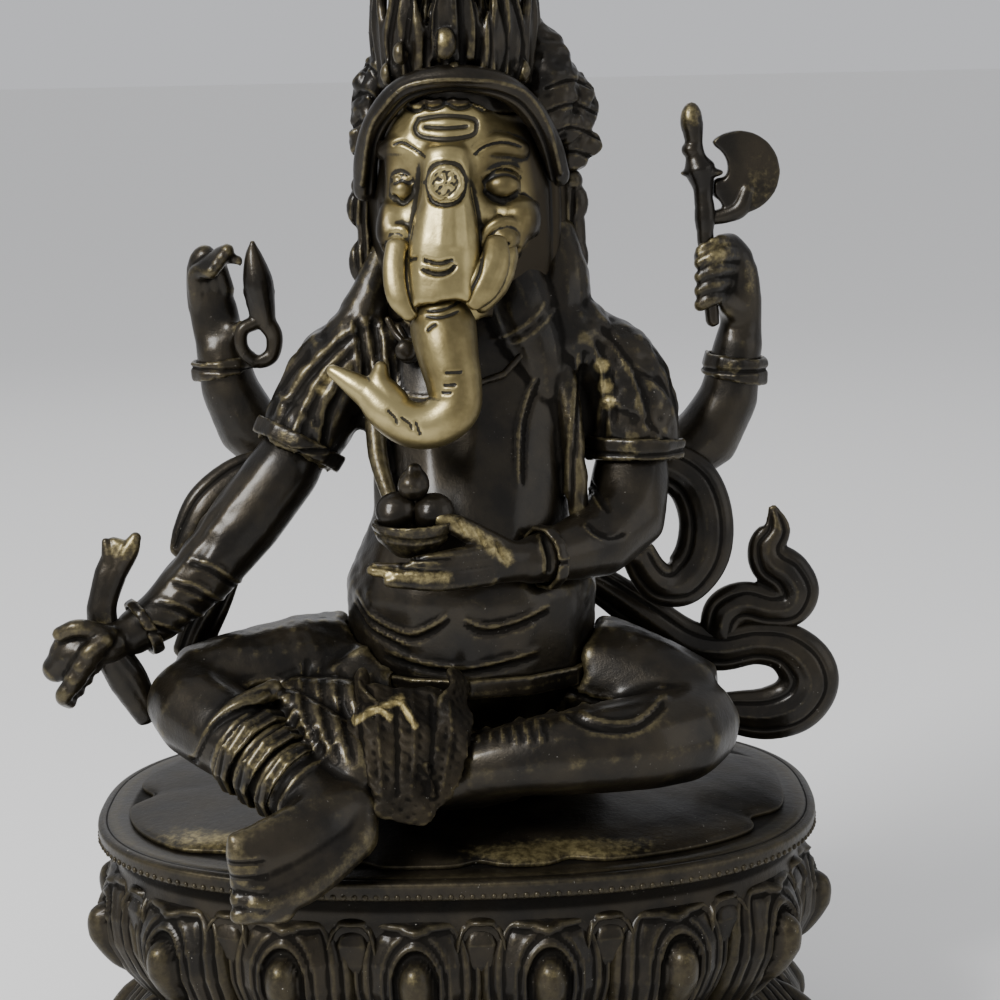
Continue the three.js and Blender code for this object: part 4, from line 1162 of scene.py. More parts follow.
class IDOL_OT_arms(bpy.types.Operator):
    """Model the four arms with their hands, and the bangles"""

    bl_idname = "idol.arms"
    bl_label = "Arms and bangles"

    def execute(self, context):
        skins = context.scene.idol_modelling

        def front_right(clay):
            clay.bar(seated([[-98, -29, 60, 6], [-108, -31, 57.5, 6.2], [-114, -31, 53, 4.4]]))
            clay.bar(seated([[-98, -33, 63, 2.8], [-106, -36, 66, 2.6], [-112, -35, 64, 2.2]]))
            for i in range(4):
                clay.bar(seated([
                    [-99 - 2.6 * i, -36, 62 - 3.6 * i, 2.7], [-104 - 2.4 * i, -37.5, 58 - 3.8 * i, 2.6],
                    [-103 - 2.6 * i, -31, 53 - 3.4 * i, 2.2],
                ]))

        def front_left(clay):
            for i in range(4):
                clay.bar(seated([
                    [12, -46, 80.5 + 2.6 * i, 2.6], [-2, -53, 80.5 + 2.3 * i, 2.3],
                    [-16 + 2.5 * i, -53.5, 81.5 + 1.8 * i, 1.8],
                ]))
            clay.bar(seated([
                [17, -40, 86, 4.0], [10, -44, 91, 3.6], [4, -46.5, 95, 3.2], [-2, -47.5, 97.6, 2.4],
            ]))

        def back_right(clay):
            for i in range(4):
                clay.bar(seated([
                    [-67 - 2.6 * i, 23, 156 - 2 * i, 3.0], [-68.5 - 2.2 * i, 20, 165.5 - 1.4 * i, 2.7],
                    [-65 - 1.6 * i, 15.5, 168.5 - 2 * i, 2.3],
                ]))

        def back_left(clay):
            for i in range(4):
                clay.bar(seated([
                    [88 - 1.2 * i, 21, 164 - 4.2 * i, 2.6], [82 - 0.6 * i, 14.5, 164.5 - 4.4 * i, 2.4],
                    [76.5, 14.5, 162 - 4.2 * i, 2.1],
                ]))

        for node, name, extra in (
            ("right_front_arm", "arm_front_right", front_right),
            ("left_front_arm", "arm_front_left", front_left),
            ("right_back_arm", "arm_back_right", back_right),
            ("left_back_arm", "arm_back_left", back_left),
        ):
            clay = cast([node], skins.medium * 0.9, extra, coarse=1.6, rounds=8)
            if node == "left_front_arm":
                for line in (
                    [(-24, 182.6), (-12, 181), (0, 180)], [(-21, 186), (-10, 184.4), (2, 183.6)],
                    [(-18, 189.4), (-8, 187.6), (3, 186.6)],
                ):
                    clay.stroke(line, 0.55, -0.9, taper=0.15)
                for x, z in ((4, 191.8), (9.5, 188.2), (15, 184)):
                    clay.stroke([(x - 0.8, z + 2.4), (x + 1.0, z - 2.2)], 0.45, -0.7)
                clay.rub_stroke([(-24, 180.5), (-14, 179.4), (0, 178.6)], 2.0, 0.62)
                clay.rub_stroke([(-2, 194.6), (4, 191.6), (11, 187), (17, 181.5)], 2.2, 0.68)
                for fold in (
                    [(25.4, 187), (27.2, 181), (27, 176)], [(34, 197), (40, 195.6), (45.5, 190)],
                    [(38, 188), (44, 184), (50, 184)],
                ):
                    clay.grooved(fold, 0.9, 0.8, taper=0.2)
            if node == "left_back_arm":
                clay.rub(spot(node, 0.70, 0.2, 0.93), (7, 14, 6), 0.42)
                clay.rub(spot(node, 0.92, 0.2, 0.80), (4, 14, 12), 0.32)
            if node == "right_front_arm":
                cuff = np.exp(-(((clay.points[:, 0] + 74) / 10) ** 2))
                clay.rough(6.0, 0.35, seed=9, where=cuff)
                for k in range(4):
                    x, z = -67 - 4.5 * k, 173 - 5.5 * k
                    clay.grooved(
                        [(x - 9, z + 6), (x, z + 2.5), (x + 9, z - 8)], 0.8, 0.6, (-1.4, -1.2), taper=0.3,
                    )
                clay.rub(spot(node, 0.05, 0.3, 0.16), (8, 16, 8), 0.34)
            clay.finish(name, FINISHES["bronze"], [node])
        for node in ("right_armband", "left_armband", "right_back_bracelet", "left_back_bracelet",
                     "right_front_bracelet", "left_front_bracelet"):
            ring = Clay(node).skin(0.8, 1).relax(14).skin(skins.small, 1)
            low, high = corners(node)
            middle = (low + high) / 2
            ring.stroke([(low[0] - 2, middle[2] + 0.4), (high[0] + 2, middle[2] - 0.4)], 0.6, -0.8, facing=-2)
            ring.rub(spot(node, 0.4, 0.0, 0.7), (5, 8, 4), 0.3)
            ring.finish(f"{node}_ring", FINISHES["bronze"], [node])
        return {"FINISHED"}


class IDOL_OT_head(bpy.types.Operator):
    """Model the elephant's head, its trunk, tusks and ears"""

    bl_idname = "idol.head"
    bl_label = "Head"

    def execute(self, context):
        skins = context.scene.idol_modelling
        x0, y0, z0 = spot("brow_roundel")

        def at(*points):
            return [(x0 + dx, z0 + dz) for dx, dz in points]

        def from_brow(dx, dy, dz, *radius):
            return (x0 + dx, y0 + dy, z0 + dz, *radius)

        # face: cheeks, brows and eyes, counted from the roundel between the brows
        clay = Clay("head").skin(1.4, 1).relax(8)
        clay.swell(from_brow(-12.8, 12, -1.6), (5.0, 9, 5.4), -4.2)
        clay.swell(from_brow(15.4, 12, -1.6), (6.6, 9, 6.2), -4.6)
        clay.find_normals()
        clay.ball(from_brow(-12.4, 15.6, -2.2), (3.8, 4.4, 3.8))
        clay.ball(from_brow(15.6, 15.2, -1.8), (5.4, 5.0, 4.3))
        clay.ball(from_brow(-14.2, 17.5, -10.4), (4.9, 7.5, 5.4))
        clay.ball(from_brow(20.0, 17.0, -11.5), (6.6, 9, 7.0))
        clay.bar([
            from_brow(-17, 20, 8.5, 2.8), from_brow(-13, 16.4, 10.0, 3.2), from_brow(-7, 13.0, 8.4, 3.0),
        ])
        clay.bar([from_brow(7.5, 13.0, 8.0, 3.0), from_brow(14, 15.8, 9.8, 3.6), from_brow(21, 21, 8.0, 2.8)])
        clay.bar([
            from_brow(0, 13, 9, 4.2), from_brow(0, 7.0, 2, 5.6), from_brow(0.3, 5.4, -8, 7.4),
            from_brow(0, 4.2, -18, 8.8),
        ])
        # curled sockets over the tusks
        clay.ball(from_brow(-14.0, 10.5, -17.2), (3.3, 5, 3.6))
        clay.ball(from_brow(15.6, 9.5, -16.2), (4.6, 6, 4.2))
        clay.bar([
            from_brow(-17.0, 12, -16.0, 1.3), from_brow(-15.6, 9.5, -13.4, 1.4),
            from_brow(-12.4, 8.0, -13.2, 1.4), from_brow(-10.6, 7.6, -16.0, 1.2),
        ])
        clay.bar([
            from_brow(9.6, 6.0, -19.0, 1.4), from_brow(10.6, 6.6, -14.6, 1.6),
            from_brow(14.2, 6.2, -11.6, 1.7), from_brow(18.4, 8.4, -12.0, 1.6),
            from_brow(20.4, 10.8, -16.4, 1.4),
        ])
        # hair and veil falling beside the face
        for k in range(4):
            clay.bar([
                [28 + 2.2 * k, -14 + 5 * k, 302 - 2 * k, 2.4], [31.5 + 1.6 * k, -13 + 5 * k, 284, 3.0],
                [31 + 1.8 * k, -12 + 5 * k, 264, 3.2], [29 + 2 * k, -10 + 5 * k, 246, 3.0],
            ])
        for k in range(3):
            clay.bar([
                [-16.5 - 1.2 * k, -10 + 5 * k, 300, 1.8], [-18 - 1.0 * k, -9 + 5 * k, 280, 2.2],
                [-16 - 1.2 * k, -8 + 5 * k, 258, 2.4],
            ])
        clay.skin(skins.small * 1.06, 2)
        # what is chased into the wax
        tilak = at(
            (-7.5, 17.4), (0, 18.2), (7.6, 17.2), (8.8, 15.0), (7.2, 12.6), (0, 11.8), (-6.8, 12.6),
            (-8.6, 15.0), (-7.5, 17.4),
        )
        clay.stroke(tilak, 0.7, -0.8).stroke(at((-6.4, 15.2), (0, 14.8), (6.8, 15.1)), 0.6, -0.8, taper=0.12)
        for hair in (
            ((-11.4, 21), (-9.4, 19.8), (-7.1, 20), (-5.9, 21.1)),
            ((-5.5, 20.7), (-3.5, 20.2), (-1.2, 20.8), (0, 21.9)),
            ((1.1, 21.4), (3.3, 20.2), (6, 20.4), (7.4, 21.3)),
            ((8.8, 20.8), (11, 19.6), (14.2, 19.8), (16, 20.2)),
        ):
            clay.stroke(at(*hair), 0.55, -1.4).stroke(at(*[(x, z + 1.5) for x, z in hair]), 0.7, 0.9)
        for brow in (
            ((-15.3, 9.9), (-12.8, 11.1), (-10.1, 10), (-5.6, 6.8)),
            ((7.8, 6.9), (10.8, 9.3), (15.3, 10.4), (19, 9.8), (21.9, 8.4)),
        ):
            clay.stroke(at(*brow), 0.5, -1.1, taper=0.2)
        for lid in (
            ((-15.6, 0.6), (-12.8, 2.0), (-9.8, 0.6)), ((10.0, 0.6), (13.4, 2.8), (17.5, 3.1), (21.1, 1.2)),
        ):
            clay.stroke(at(*lid), 0.7, 0.9, taper=0.2)
            clay.stroke(at(*[(x, z - 1.5) for x, z in lid]), 0.5, -0.8, taper=0.2)
        for under in (
            ((-15.4, -3.4), (-12.6, -6.0), (-9.6, -3.6)),
            ((10.1, -2.6), (13.2, -5.0), (17.3, -5.4), (20.5, -3.0)),
        ):
            clay.stroke(at(*under), 0.5, -0.9, taper=0.2)
        clay.stroke(at((-15.6, -21), (-12, -21.2), (-9, -20.4)), 0.45, -1.0)
        clay.stroke(at((10.2, -19.4), (13.4, -18.6), (17.1, -17.5)), 0.5, -1.0)
        clay.stroke(at((-7.0, -20.6), (-2.7, -21.6), (2.1, -20.8)), 0.55, -1.3, taper=0.12)
        clay.stroke(at((-7.6, -23.2), (-3.2, -24.6), (0.4, -24.0), (2.6, -21.8)), 0.6, -1.4, taper=0.12)
        clay.stroke(at((-5.2, -22.2), (-3.0, -22.9), (0.6, -22.6)), 0.5, 0.5)
        bezel = at(
            (-6.0, 0), (-4.2, -4.6), (0, -5.8), (4.2, -4.4), (5.8, 0), (4.2, 4.4), (0, 5.8), (-4.2, 4.4),
            (-6.0, 0),
        )
        clay.stroke(bezel, 0.6, -1.2)
        for side in (
            ((-7.4, 7.6), (-8.1, 1.3), (-9.4, -6.8), (-10.4, -15.8), (-11.7, -22.7)),
            ((5.1, 7.4), (6.2, 1.1), (8.2, -7.1), (9.6, -16.3)),
        ):
            clay.stroke(at(*side), 0.9, -0.35, taper=0.3)
        # locks of hair down the back and the sides of the head
        for k in range(9):
            across = -16 + 5.2 * k
            clay.grooved(
                [(across, 304), (across * 1.06, 288), (across * 1.02 + 1, 268), (across * 1.1, 246)], 1.0,
                0.9, (2.4, 0.0), view="back", taper=0.08,
            )
        for view in ("left", "right"):
            for k in range(4):
                clay.grooved(
                    [(-8 + 6 * k, 300), (-7 + 6 * k, 282), (-5 + 5.6 * k, 262), (-6 + 6 * k, 246)], 1.0, 0.8,
                    (2.6, 0.0), view=view, taper=0.08,
                )
        # bright only over the face itself; the hair and the head's sides stay dark. On top of that comes
        # painted shade: the face is darkened toward its +x side, away from the light, and round the eyes
        x, y, z = clay.points.T
        heights = np.array([-60, -24, -20, -9, 6.5, 17, 22]) + z0
        left = np.interp(z, heights, np.array([-11.0, -13.0, -17.6, -18.0, -16.2, -15.6, -12.5]) + x0)
        right = np.interp(z, heights, np.array([9.0, 11.0, 22.0, 25.4, 23.0, 19.6, 16.5]) + x0)
        inside = np.clip(np.minimum(x - left, right - x) / 4.0 + 0.3, 0, 1) ** 0.7
        inside *= np.clip((z0 + 21.5 - z) / 0.8, 0, 1) * np.clip((-14 - y) / 4, 0, 1)
        # painted shade: the face's +x side is drawn darker, as if turned away from the light
        inside = inside - 0.30 * np.clip((x - x0 - 5) / 12, 0, 1) * inside
        # painted shade: darker patches round the eyes, where the sockets would lie in shadow
        inside -= 0.30 * np.exp(-(((np.abs(x - x0 - 0.5) - 11) / 4.5) ** 2) - ((z - z0 + 1) / 9) ** 2)
        clay.bare_and_shade = inside * 1.3 - 1.0
        clay.finish("head_casting", FINISHES["brass"], ["head"], "polished_brass")

        spine = seated([
            [0.2, -35.0, 150, 9.4], [0.9, -38.6, 146, 9.0], [1.8, -40.6, 141, 8.4], [3.0, -42.4, 135, 7.8],
            [3.0, -44, 128.6, 7.2], [-2.4, -45, 124.4, 6.8], [-9, -45.2, 124.2, 6.5], [-15.5, -45, 128, 5.9],
            [-20, -44.2, 132.4, 4.6],
        ])
        trunk = Clay().bar(spine, sides=30)
        trunk.bar(seated([[-17, -44.5, 130, 5.0], [-24, -43.5, 135, 3.7], [-30.6, -42, 139.2, 1.9]]))
        trunk.bar(seated([[-14, -44.5, 130, 5.0], [-17.4, -43.6, 135.5, 3.7], [-17.2, -42.6, 139.8, 2.1]]))
        trunk.skin(skins.small, 2)
        for ring in (
            ((-4.6, 251.3), (0, 251.8), (5.1, 253.4)), ((-4.7, 249.9), (0, 249.9), (5.0, 251.1)),
            ((0.4, 235.0), (5.8, 235.1)), ((0.1, 231.6), (4.0, 231.7)), ((-0.6, 229.4), (2.5, 229.6)),
            ((-4.4, 245.9), (-2.8, 247.4), (-1.2, 248.1)), ((-12.0, 223.4), (-9.3, 221.4), (-8.6, 219.4)),
            ((-7.7, 222.1), (-7.0, 219.8), (-6.3, 217.8)), ((-15.5, 225.4), (-13.4, 223.2), (-12.6, 221.0)),
        ):
            trunk.stroke(ring, 0.45, -0.8, taper=0.2)
        # painted shade: darker on the trunk's +x side, away from the light; also duller toward its tip
        x, _, z = trunk.points.T
        trunk.bare_and_shade = 0.0 - (0.35 * np.clip((x - 4) / 4, 0, 1) + 0.25 * np.clip((240 - z) / 14, 0, 1))
        trunk.rub_stroke([(-27, 234), (-20, 228), (-12, 223), (-4, 221)], 5.0, 0.6)
        trunk.finish("trunk_casting", FINISHES["brass"], ["trunk"], "polished_brass")

        for node, name, flap, line in (
            (
                "right_tusk", "tusk_right",
                [
                    [-11.9, -41.0, 269, 3.4], [-12.4, -44, 262, 3.9], [-11.4, -46.5, 255, 3.8],
                    [-8.6, -47.6, 249.8, 2.3],
                ],
                [(-8.9, 268), (-9.2, 260), (-8.0, 254), (-6.2, 250.4)],
            ),
            (
                "left_tusk", "tusk_left",
                [
                    [15.6, -41.0, 269.5, 3.2], [15.0, -44, 264, 4.4], [11.8, -46.5, 257.5, 4.6],
                    [8.6, -47.6, 252.6, 2.4],
                ],
                [(11.4, 268), (10.8, 262), (8.4, 257), (6.8, 253)],
            ),
        ):
            tusk = Clay(node).skin(0.7, 1).relax(5)
            # a broad flap that tapers to a blunt tip beside the trunk
            tusk.bar(flap, flat=0.6)
            tusk.skin(skins.small * 0.8, 2)
            tusk.stroke(line, 0.6, -0.9, taper=0.1)
            tusk.bare_and_shade[:] = 0.05
            tusk.finish(name, FINISHES["brass"], [node], "polished_brass")

        roundel = Clay("brow_roundel").skin(0.4, 3)
        for k in range(5):
            angle = 0.6 + k * 1.2566
            roundel.stroke(
                [(x0, z0), (x0 + 2.9 * math.cos(angle), z0 + 2.9 * math.sin(angle))], 0.55, 0.55, taper=0.3,
            )
        roundel.stroke(
            [(x0 + 4.3 * math.cos(a), z0 + 4.3 * math.sin(a)) for a in np.linspace(0, 6.2832, 9)], 0.5, 0.4,
        )
        roundel.rough(1.3, 0.10, seed=3)
        roundel.bare_and_shade[:] = 0.6
        roundel.finish("forehead_roundel", FINISHES["brass"], ["brow_roundel"], "polished_brass")

        for node, name, outward in (("right_ear", "ear_right", -1), ("left_ear", "ear_left", 1)):
            ear = Clay(node).skin(1.1, 1).relax(4)
            low, high = corners(node)
            x, y, z = (low + high) / 2
            ear.ball((x + outward * 1.5, y, z - 9), (4.6, 3.2, 7.0))
            ear.ball((x + outward * 1.8, y - 0.5, z + 7), (4.4, 3.2, 6.0))
            ear.ball((x + outward * 1.2, y - 1.5, z + 13.5), (3.4, 3.4, 3.4))
            ear.skin(skins.small * 1.1, 2)
            for k in range(3):
                fold = [(x - 3 + 2.4 * k, z + 12), (x - 4 + 2.6 * k, z + 2), (x - 3 + 2.2 * k, z - 12)]
                ear.stroke(fold, 0.6, -0.8, taper=0.2)
                ear.stroke(fold, 0.6, -0.6, taper=0.2, view="back")
            ear.finish(name, FINISHES["bronze"], [node])
        return {"FINISHED"}


class IDOL_OT_crown(bpy.types.Operator):
    """Model the crown with its leaves, band and side ornaments"""

    bl_idname = "idol.crown"
    bl_label = "Crown"

    def execute(self, context):
        skins = context.scene.idol_modelling
        leaves = [f"crown_leaf_{i}" for i in range(1, 6)]
        foot, top = corners("crown")
        x0, y0 = (foot + top)[:2] / 2
        half, tall = (top - foot)[0] / 2, top[2] - foot[2]

        clay = Clay("crown").skin(1.6, 1).relax(3)
        # the five great leaves: a broad blade with a rib and a curled lobe at each side
        for leaf in leaves:
            low, high = corners(leaf)
            centre = (low + high) / 2
            out = np.array((centre[0] - x0, centre[1] - y0, 0.0))
            out = out / np.linalg.norm(out)
            side = np.array((-out[1], out[0], 0.0))
            tall_leaf = high[2] - low[2]
            ring = np.array((x0, y0, 0.0)) + out * half * 0.98

            def blade(across, rise, lean, wide):
                place_ = ring + side * across + out * lean
                return [place_[0], place_[1], low[2] + 4 + (tall_leaf - 4) * rise, wide, min(1.7, wide)]

            clay.bar(
                [
                    blade(0, 0, 0, 4.2), blade(0, 0.4, 1.6, 5.6), blade(0, 0.75, 0.8, 3.6),
                    blade(0, 1.0, -1.2, 0.8),
                ],
                depth_axis=out + (0, 0, 1e-3),
            )
            clay.bar([blade(0, 0.05, 1.6, 1.1), blade(0, 0.5, 3.0, 1.2), blade(0, 0.9, 1.2, 0.7)])
            for way in (-1, 1):
                clay.bar([
                    blade(way * 4.4, 0, 0.8, 1.8), blade(way * 5.6, 0.35, 1.6, 1.9),
                    blade(way * 3.6, 0.62, 2.2, 1.3), blade(way * 5.6, 0.74, 2.4, 1.0),
                ])
        # leaves stand in two tiers all the way round; every other one carries a jewel
        for tier, (count, low, reach, out) in enumerate(((14, 0.24, 0.48, 1.04), (10, 0.50, 0.44, 0.80))):
            for k in range(count):
                angle = 2 * math.pi * (k + 0.5 * tier) / count - math.pi / 2
                cx, cy = math.cos(angle), math.sin(angle)
                rows = []
                for share, spread, size in (
                    (0, 0.97, 3.2), (0.35, 1.04, 3.9), (0.7, 1.0, 2.8), (1.0, 0.98, 0.7),
                ):
                    r = half * out * spread * (1 - 0.28 * share)
                    rows.append([x0 + cx * r, y0 + cy * r, foot[2] + tall * (low + reach * share), size, 2.0])
                clay.bar(rows, sides=12, depth_axis=(-cx, -cy, 0.001))
                if k % 2 == 0:
                    r = half * out + 2.2
                    clay.ball((x0 + cx * r, y0 + cy * r, foot[2] + tall * (low + 0.05)), (2.4, 2.4, 3.2))
        clay.ball((x0 - 2.6, foot[1] - 5.0, foot[2] + 24), (3.3, 3, 4.6))
        clay.ball((x0 - 15.2, foot[1] - 0.5, foot[2] + 21.5), (2.3, 2.4, 3.4))
        clay.skin(skins.small * 1.25, 2)
        for dx, lean in (
            (-17, -1.5), (-12.5, -1), (-8.6, 1), (-6, 0.5), (1.8, 0.5), (5.4, 1.5), (8.6, 2.0), (12.4, 2.6),
            (16.5, 3.0),
        ):
            clay.stroke(
                [
                    (x0 + dx, foot[2] + 12), (x0 + dx + lean, foot[2] + 24),
                    (x0 + dx * 0.8 + lean, foot[2] + 40),
                ],
                0.7, -1.0, taper=0.15,
            )
            clay.stroke(
                [(x0 + dx, foot[2] + 12), (x0 + dx + lean, foot[2] + 24), (x0 + dx * 0.8, foot[2] + 40)], 0.8,
                -1.0, taper=0.15, view="back",
            )
        clay.rub((x0 - 2.6, foot[1] - 7.5, foot[2] + 25.5), (2.4, 3, 2.6), 0.75)
        clay.rub((x0 - 8.5, foot[1] - 3.0, foot[2] + 34), (1.4, 4, 4.0), 0.7)
        clay.finish("crown_casting", FINISHES["bronze"], ["crown", *leaves])

        arch = [
            [-22, -6, 187, 3.5], [-21, -11, 197, 3.6], [-17, -16.5, 207.5, 3.7], [-9, -21, 215.6, 3.8],
            [4, -23, 218.4, 3.9], [17.5, -21, 216, 3.8], [26, -16.5, 209, 3.7], [31.4, -11, 199, 3.6],
            [33.8, -6, 190, 3.5],
        ]
        band = Clay().bar(seated(arch), sides=20).skin(skins.small, 2)
        line = [
            (-22.5, 285), (-19.5, 300), (-14.5, 307.5), (-9.0, 312.2), (0, 314.0), (10, 313.8), (18.3, 312.6),
            (25.4, 309), (31, 300), (34.4, 287),
        ]
        band.stroke(line, 0.7, 0.8).stroke([(x * 0.94 + 0.3, z - 2.9) for x, z in line], 0.6, -0.7)
        band.finish("crown_band_casting", FINISHES["bronze"], ["crown_band"])

        finial = Clay("crown_finial").skin(0.8, 1).relax(2)
        low, high = corners("crown_finial")
        x, y = (low + high)[:2] / 2
        finial.ball((x, y, high[2] - 2.6), (2.0, 2.0, 2.6))
        finial.bar([[x, y, low[2] - 14, 7.0], [x, y, low[2] - 5, 4.6], [x, y, low[2] + 1, 2.4]])
        finial.skin(skins.small, 1)
        finial.finish("finial_casting", FINISHES["bronze"], ["crown_finial"])

        for node, outward in (("crown_side_right", -1), ("crown_side_left", 1)):
            side = Clay(node)
            low, high = corners(node)
            x, y, z = (low + high) / 2
            if outward > 0:
                # the wing that fills the crown's side
                side.bar([[20, -12, 312, 6, 5], [22, -9, 324, 7, 6], [18, -8, 336, 6, 5]])
                side.bar([
                    [27, -12, 296, 7, 5], [31, -10, 308, 9, 6], [30, -8, 319, 8, 6], [25, -6, 329, 5, 4],
                    [21, -6, 336, 2.4, 2],
                ])
                side.bar([
                    [38, -5, 290, 5, 4], [38, -5, 302, 6.6, 5], [37, -5, 312, 5.4, 4], [35, -5, 318, 2.6, 2],
                ])
                side.ball((42.0, -6, 308.6), (3.0, 3, 3.0))
                side.ball((31.0, -12, 316), (4.0, 3, 5.0))
                side.ball((37, -9, 300), (5, 3, 5))
            else:
                side.bar([
                    [-20, -8, 294, 3.6, 3.6], [-20, -8, 306, 3.6, 3.6], [-17, -9, 318, 3.2, 3],
                    [-17, -8, 326, 1.8, 2],
                ])
            wide, tall = (high - low)[0] / 2, (high - low)[2] / 2
            for k in range(3):
                side.ball(
                    (x + outward * wide * (0.1 + 0.2 * k), y - 1.5, z + tall * (0.5 - 0.5 * k)),
                    (wide * 0.6, 3.0, tall * 0.30),
                )
            side.skin(skins.small, 2).rough(4.5, 0.35, seed=6)
            for k in range(4):
                side.stroke(
                    [
                        (x - wide, z + tall * (0.7 - 0.5 * k)), (x, z + tall * (0.85 - 0.5 * k)),
                        (x + wide, z + tall * (0.6 - 0.5 * k)),
                    ],
                    0.5, -0.7,
                )
            side.finish(f"{node}_casting", FINISHES["bronze"], [node])
        return {"FINISHED"}


class IDOL_OT_held(bpy.types.Operator):
    """Model what the hands hold: axe, noose, radish and the bowl of sweets"""

    bl_idname = "idol.held"
    bl_label = "Things held"

    def execute(self, context):
        skins = context.scene.idol_modelling
        added = {
            "sweet_1": [("ball", (-14.0, -52, 195.5), (6.0, 5.6, 5.6))],
            "sweet_2": [("ball", (-3.6, -52, 195.2), (6.0, 5.6, 5.4))],
            "sweet_3": [
                ("ball", (-8.8, -51.5, 203.0), (4.4, 4.4, 4.8)),
                ("ball", (-8.6, -51.5, 206.6), (2.2, 2.2, 2.6)),
            ],
            "axe_handle": [
                ("ball", (74.4, 10, 300.0), (3.4, 3.4, 5.6)), ("ball", (74.6, 10, 291.5), (3.3, 3.3, 2.8)),
                ("ball", (77.5, 10, 284.6), (6.6, 3.6, 1.7)), ("ball", (78.3, 10, 272), (3.2, 3.2, 8)),
            ],
            "axe_blade": [(
                "bar", [[80.5, 11, 271, 2.2], [85, 11, 272, 2.6], [89, 11, 274, 3.0], [91, 11, 279, 2.6]],
            )],
            "radish": [
                (
                    "bar",
                    [
                        [-88.6, -32, 133.5, 2.8], [-93, -33, 144, 4.2], [-99, -34, 154, 4.6],
                        [-100.4, -34, 165, 3.8], [-96.4, -33, 176, 3.4],
                    ],
                ),
                ("bar", [[-97.0, -33, 175, 3.2], [-98.0, -33, 180, 2.6], [-99.0, -33, 184.6, 1.3]]),
                ("bar", [[-96.0, -33, 176, 3.2], [-92.4, -33, 182, 3.0], [-90.4, -33, 185.6, 1.8]]),
            ],
            "noose": [
                (
                    "bar",
                    [
                        [-57.4, 8, 266.6, 0.9], [-57.2, 8, 262.5, 2.8], [-56.2, 8, 255, 4.6],
                        [-55.0, 8, 248, 3.8], [-53.8, 8, 242, 2.6],
                    ],
                ),
                (
                    "bar",
                    [
                        [-54.2, 8, 244, 2.4], [-51.6, 8, 238.5, 2.3], [-53.0, 8, 232.4, 2.2],
                        [-57.6, 8, 231, 2.1], [-61.6, 7, 235, 2.1], [-61.4, 7, 240.6, 2.1],
                        [-57, 8, 243, 2.4],
                    ],
                ),
            ],
        }
        brass = {"axe_handle": 0.12, "sweets_bowl": 0.3, "sweet_3": 0.2}
        for node in (
            "axe_handle", "axe_blade", "radish", "noose", "sweets_bowl", "sweet_1", "sweet_2", "sweet_3",
            "pendant", "necklace",
        ):

            def extra(clay, shapes=added.get(node, ())):
                for kind, *shape in shapes:
                    getattr(clay, kind)(*shape)

            piece = cast([node], skins.small * 0.8, extra, coarse=0.8, rounds=2)
            piece.bare_and_shade[:] = brass.get(node, 0.0)
            if node == "pendant":
                piece.ball((-11, -28.5, 237.7), (3.2, 1.8, 3.2)).ball((-7.8, -27.5, 239.3), (1.9, 1.6, 1.9))
                piece.bar([[-16, -25, 246.4, 1.0], [-14, -26, 242.7, 1.1], [-12, -27.4, 240.6, 1.0]])
                piece.skin(skins.small * 0.7, 1)
            if node == "axe_blade":
                piece.rub(spot(node, 0.75, 0.5, 0.35), (8, 10, 12), 0.27)
            if node == "axe_handle":
                piece.rub(spot(node, 0.2, 0.5, 0.95), (5, 10, 6), 0.42)
            if node == "sweets_bowl":
                piece.stroke([(-23, 194.2), (-8, 193.6), (4, 193.2)], 0.6, 0.7)
                piece.stroke([(-20, 190), (-8, 189), (2, 189)], 0.6, -0.6)
            if node == "radish":
                piece.rub((-93, -36, 184), (7, 10, 5), 0.5).rub((-100, -38, 158), (4, 10, 8), 0.4)
            piece.finish(f"{node}_casting", FINISHES["bronze"], [node], "polished_brass")
        return {"FINISHED"}


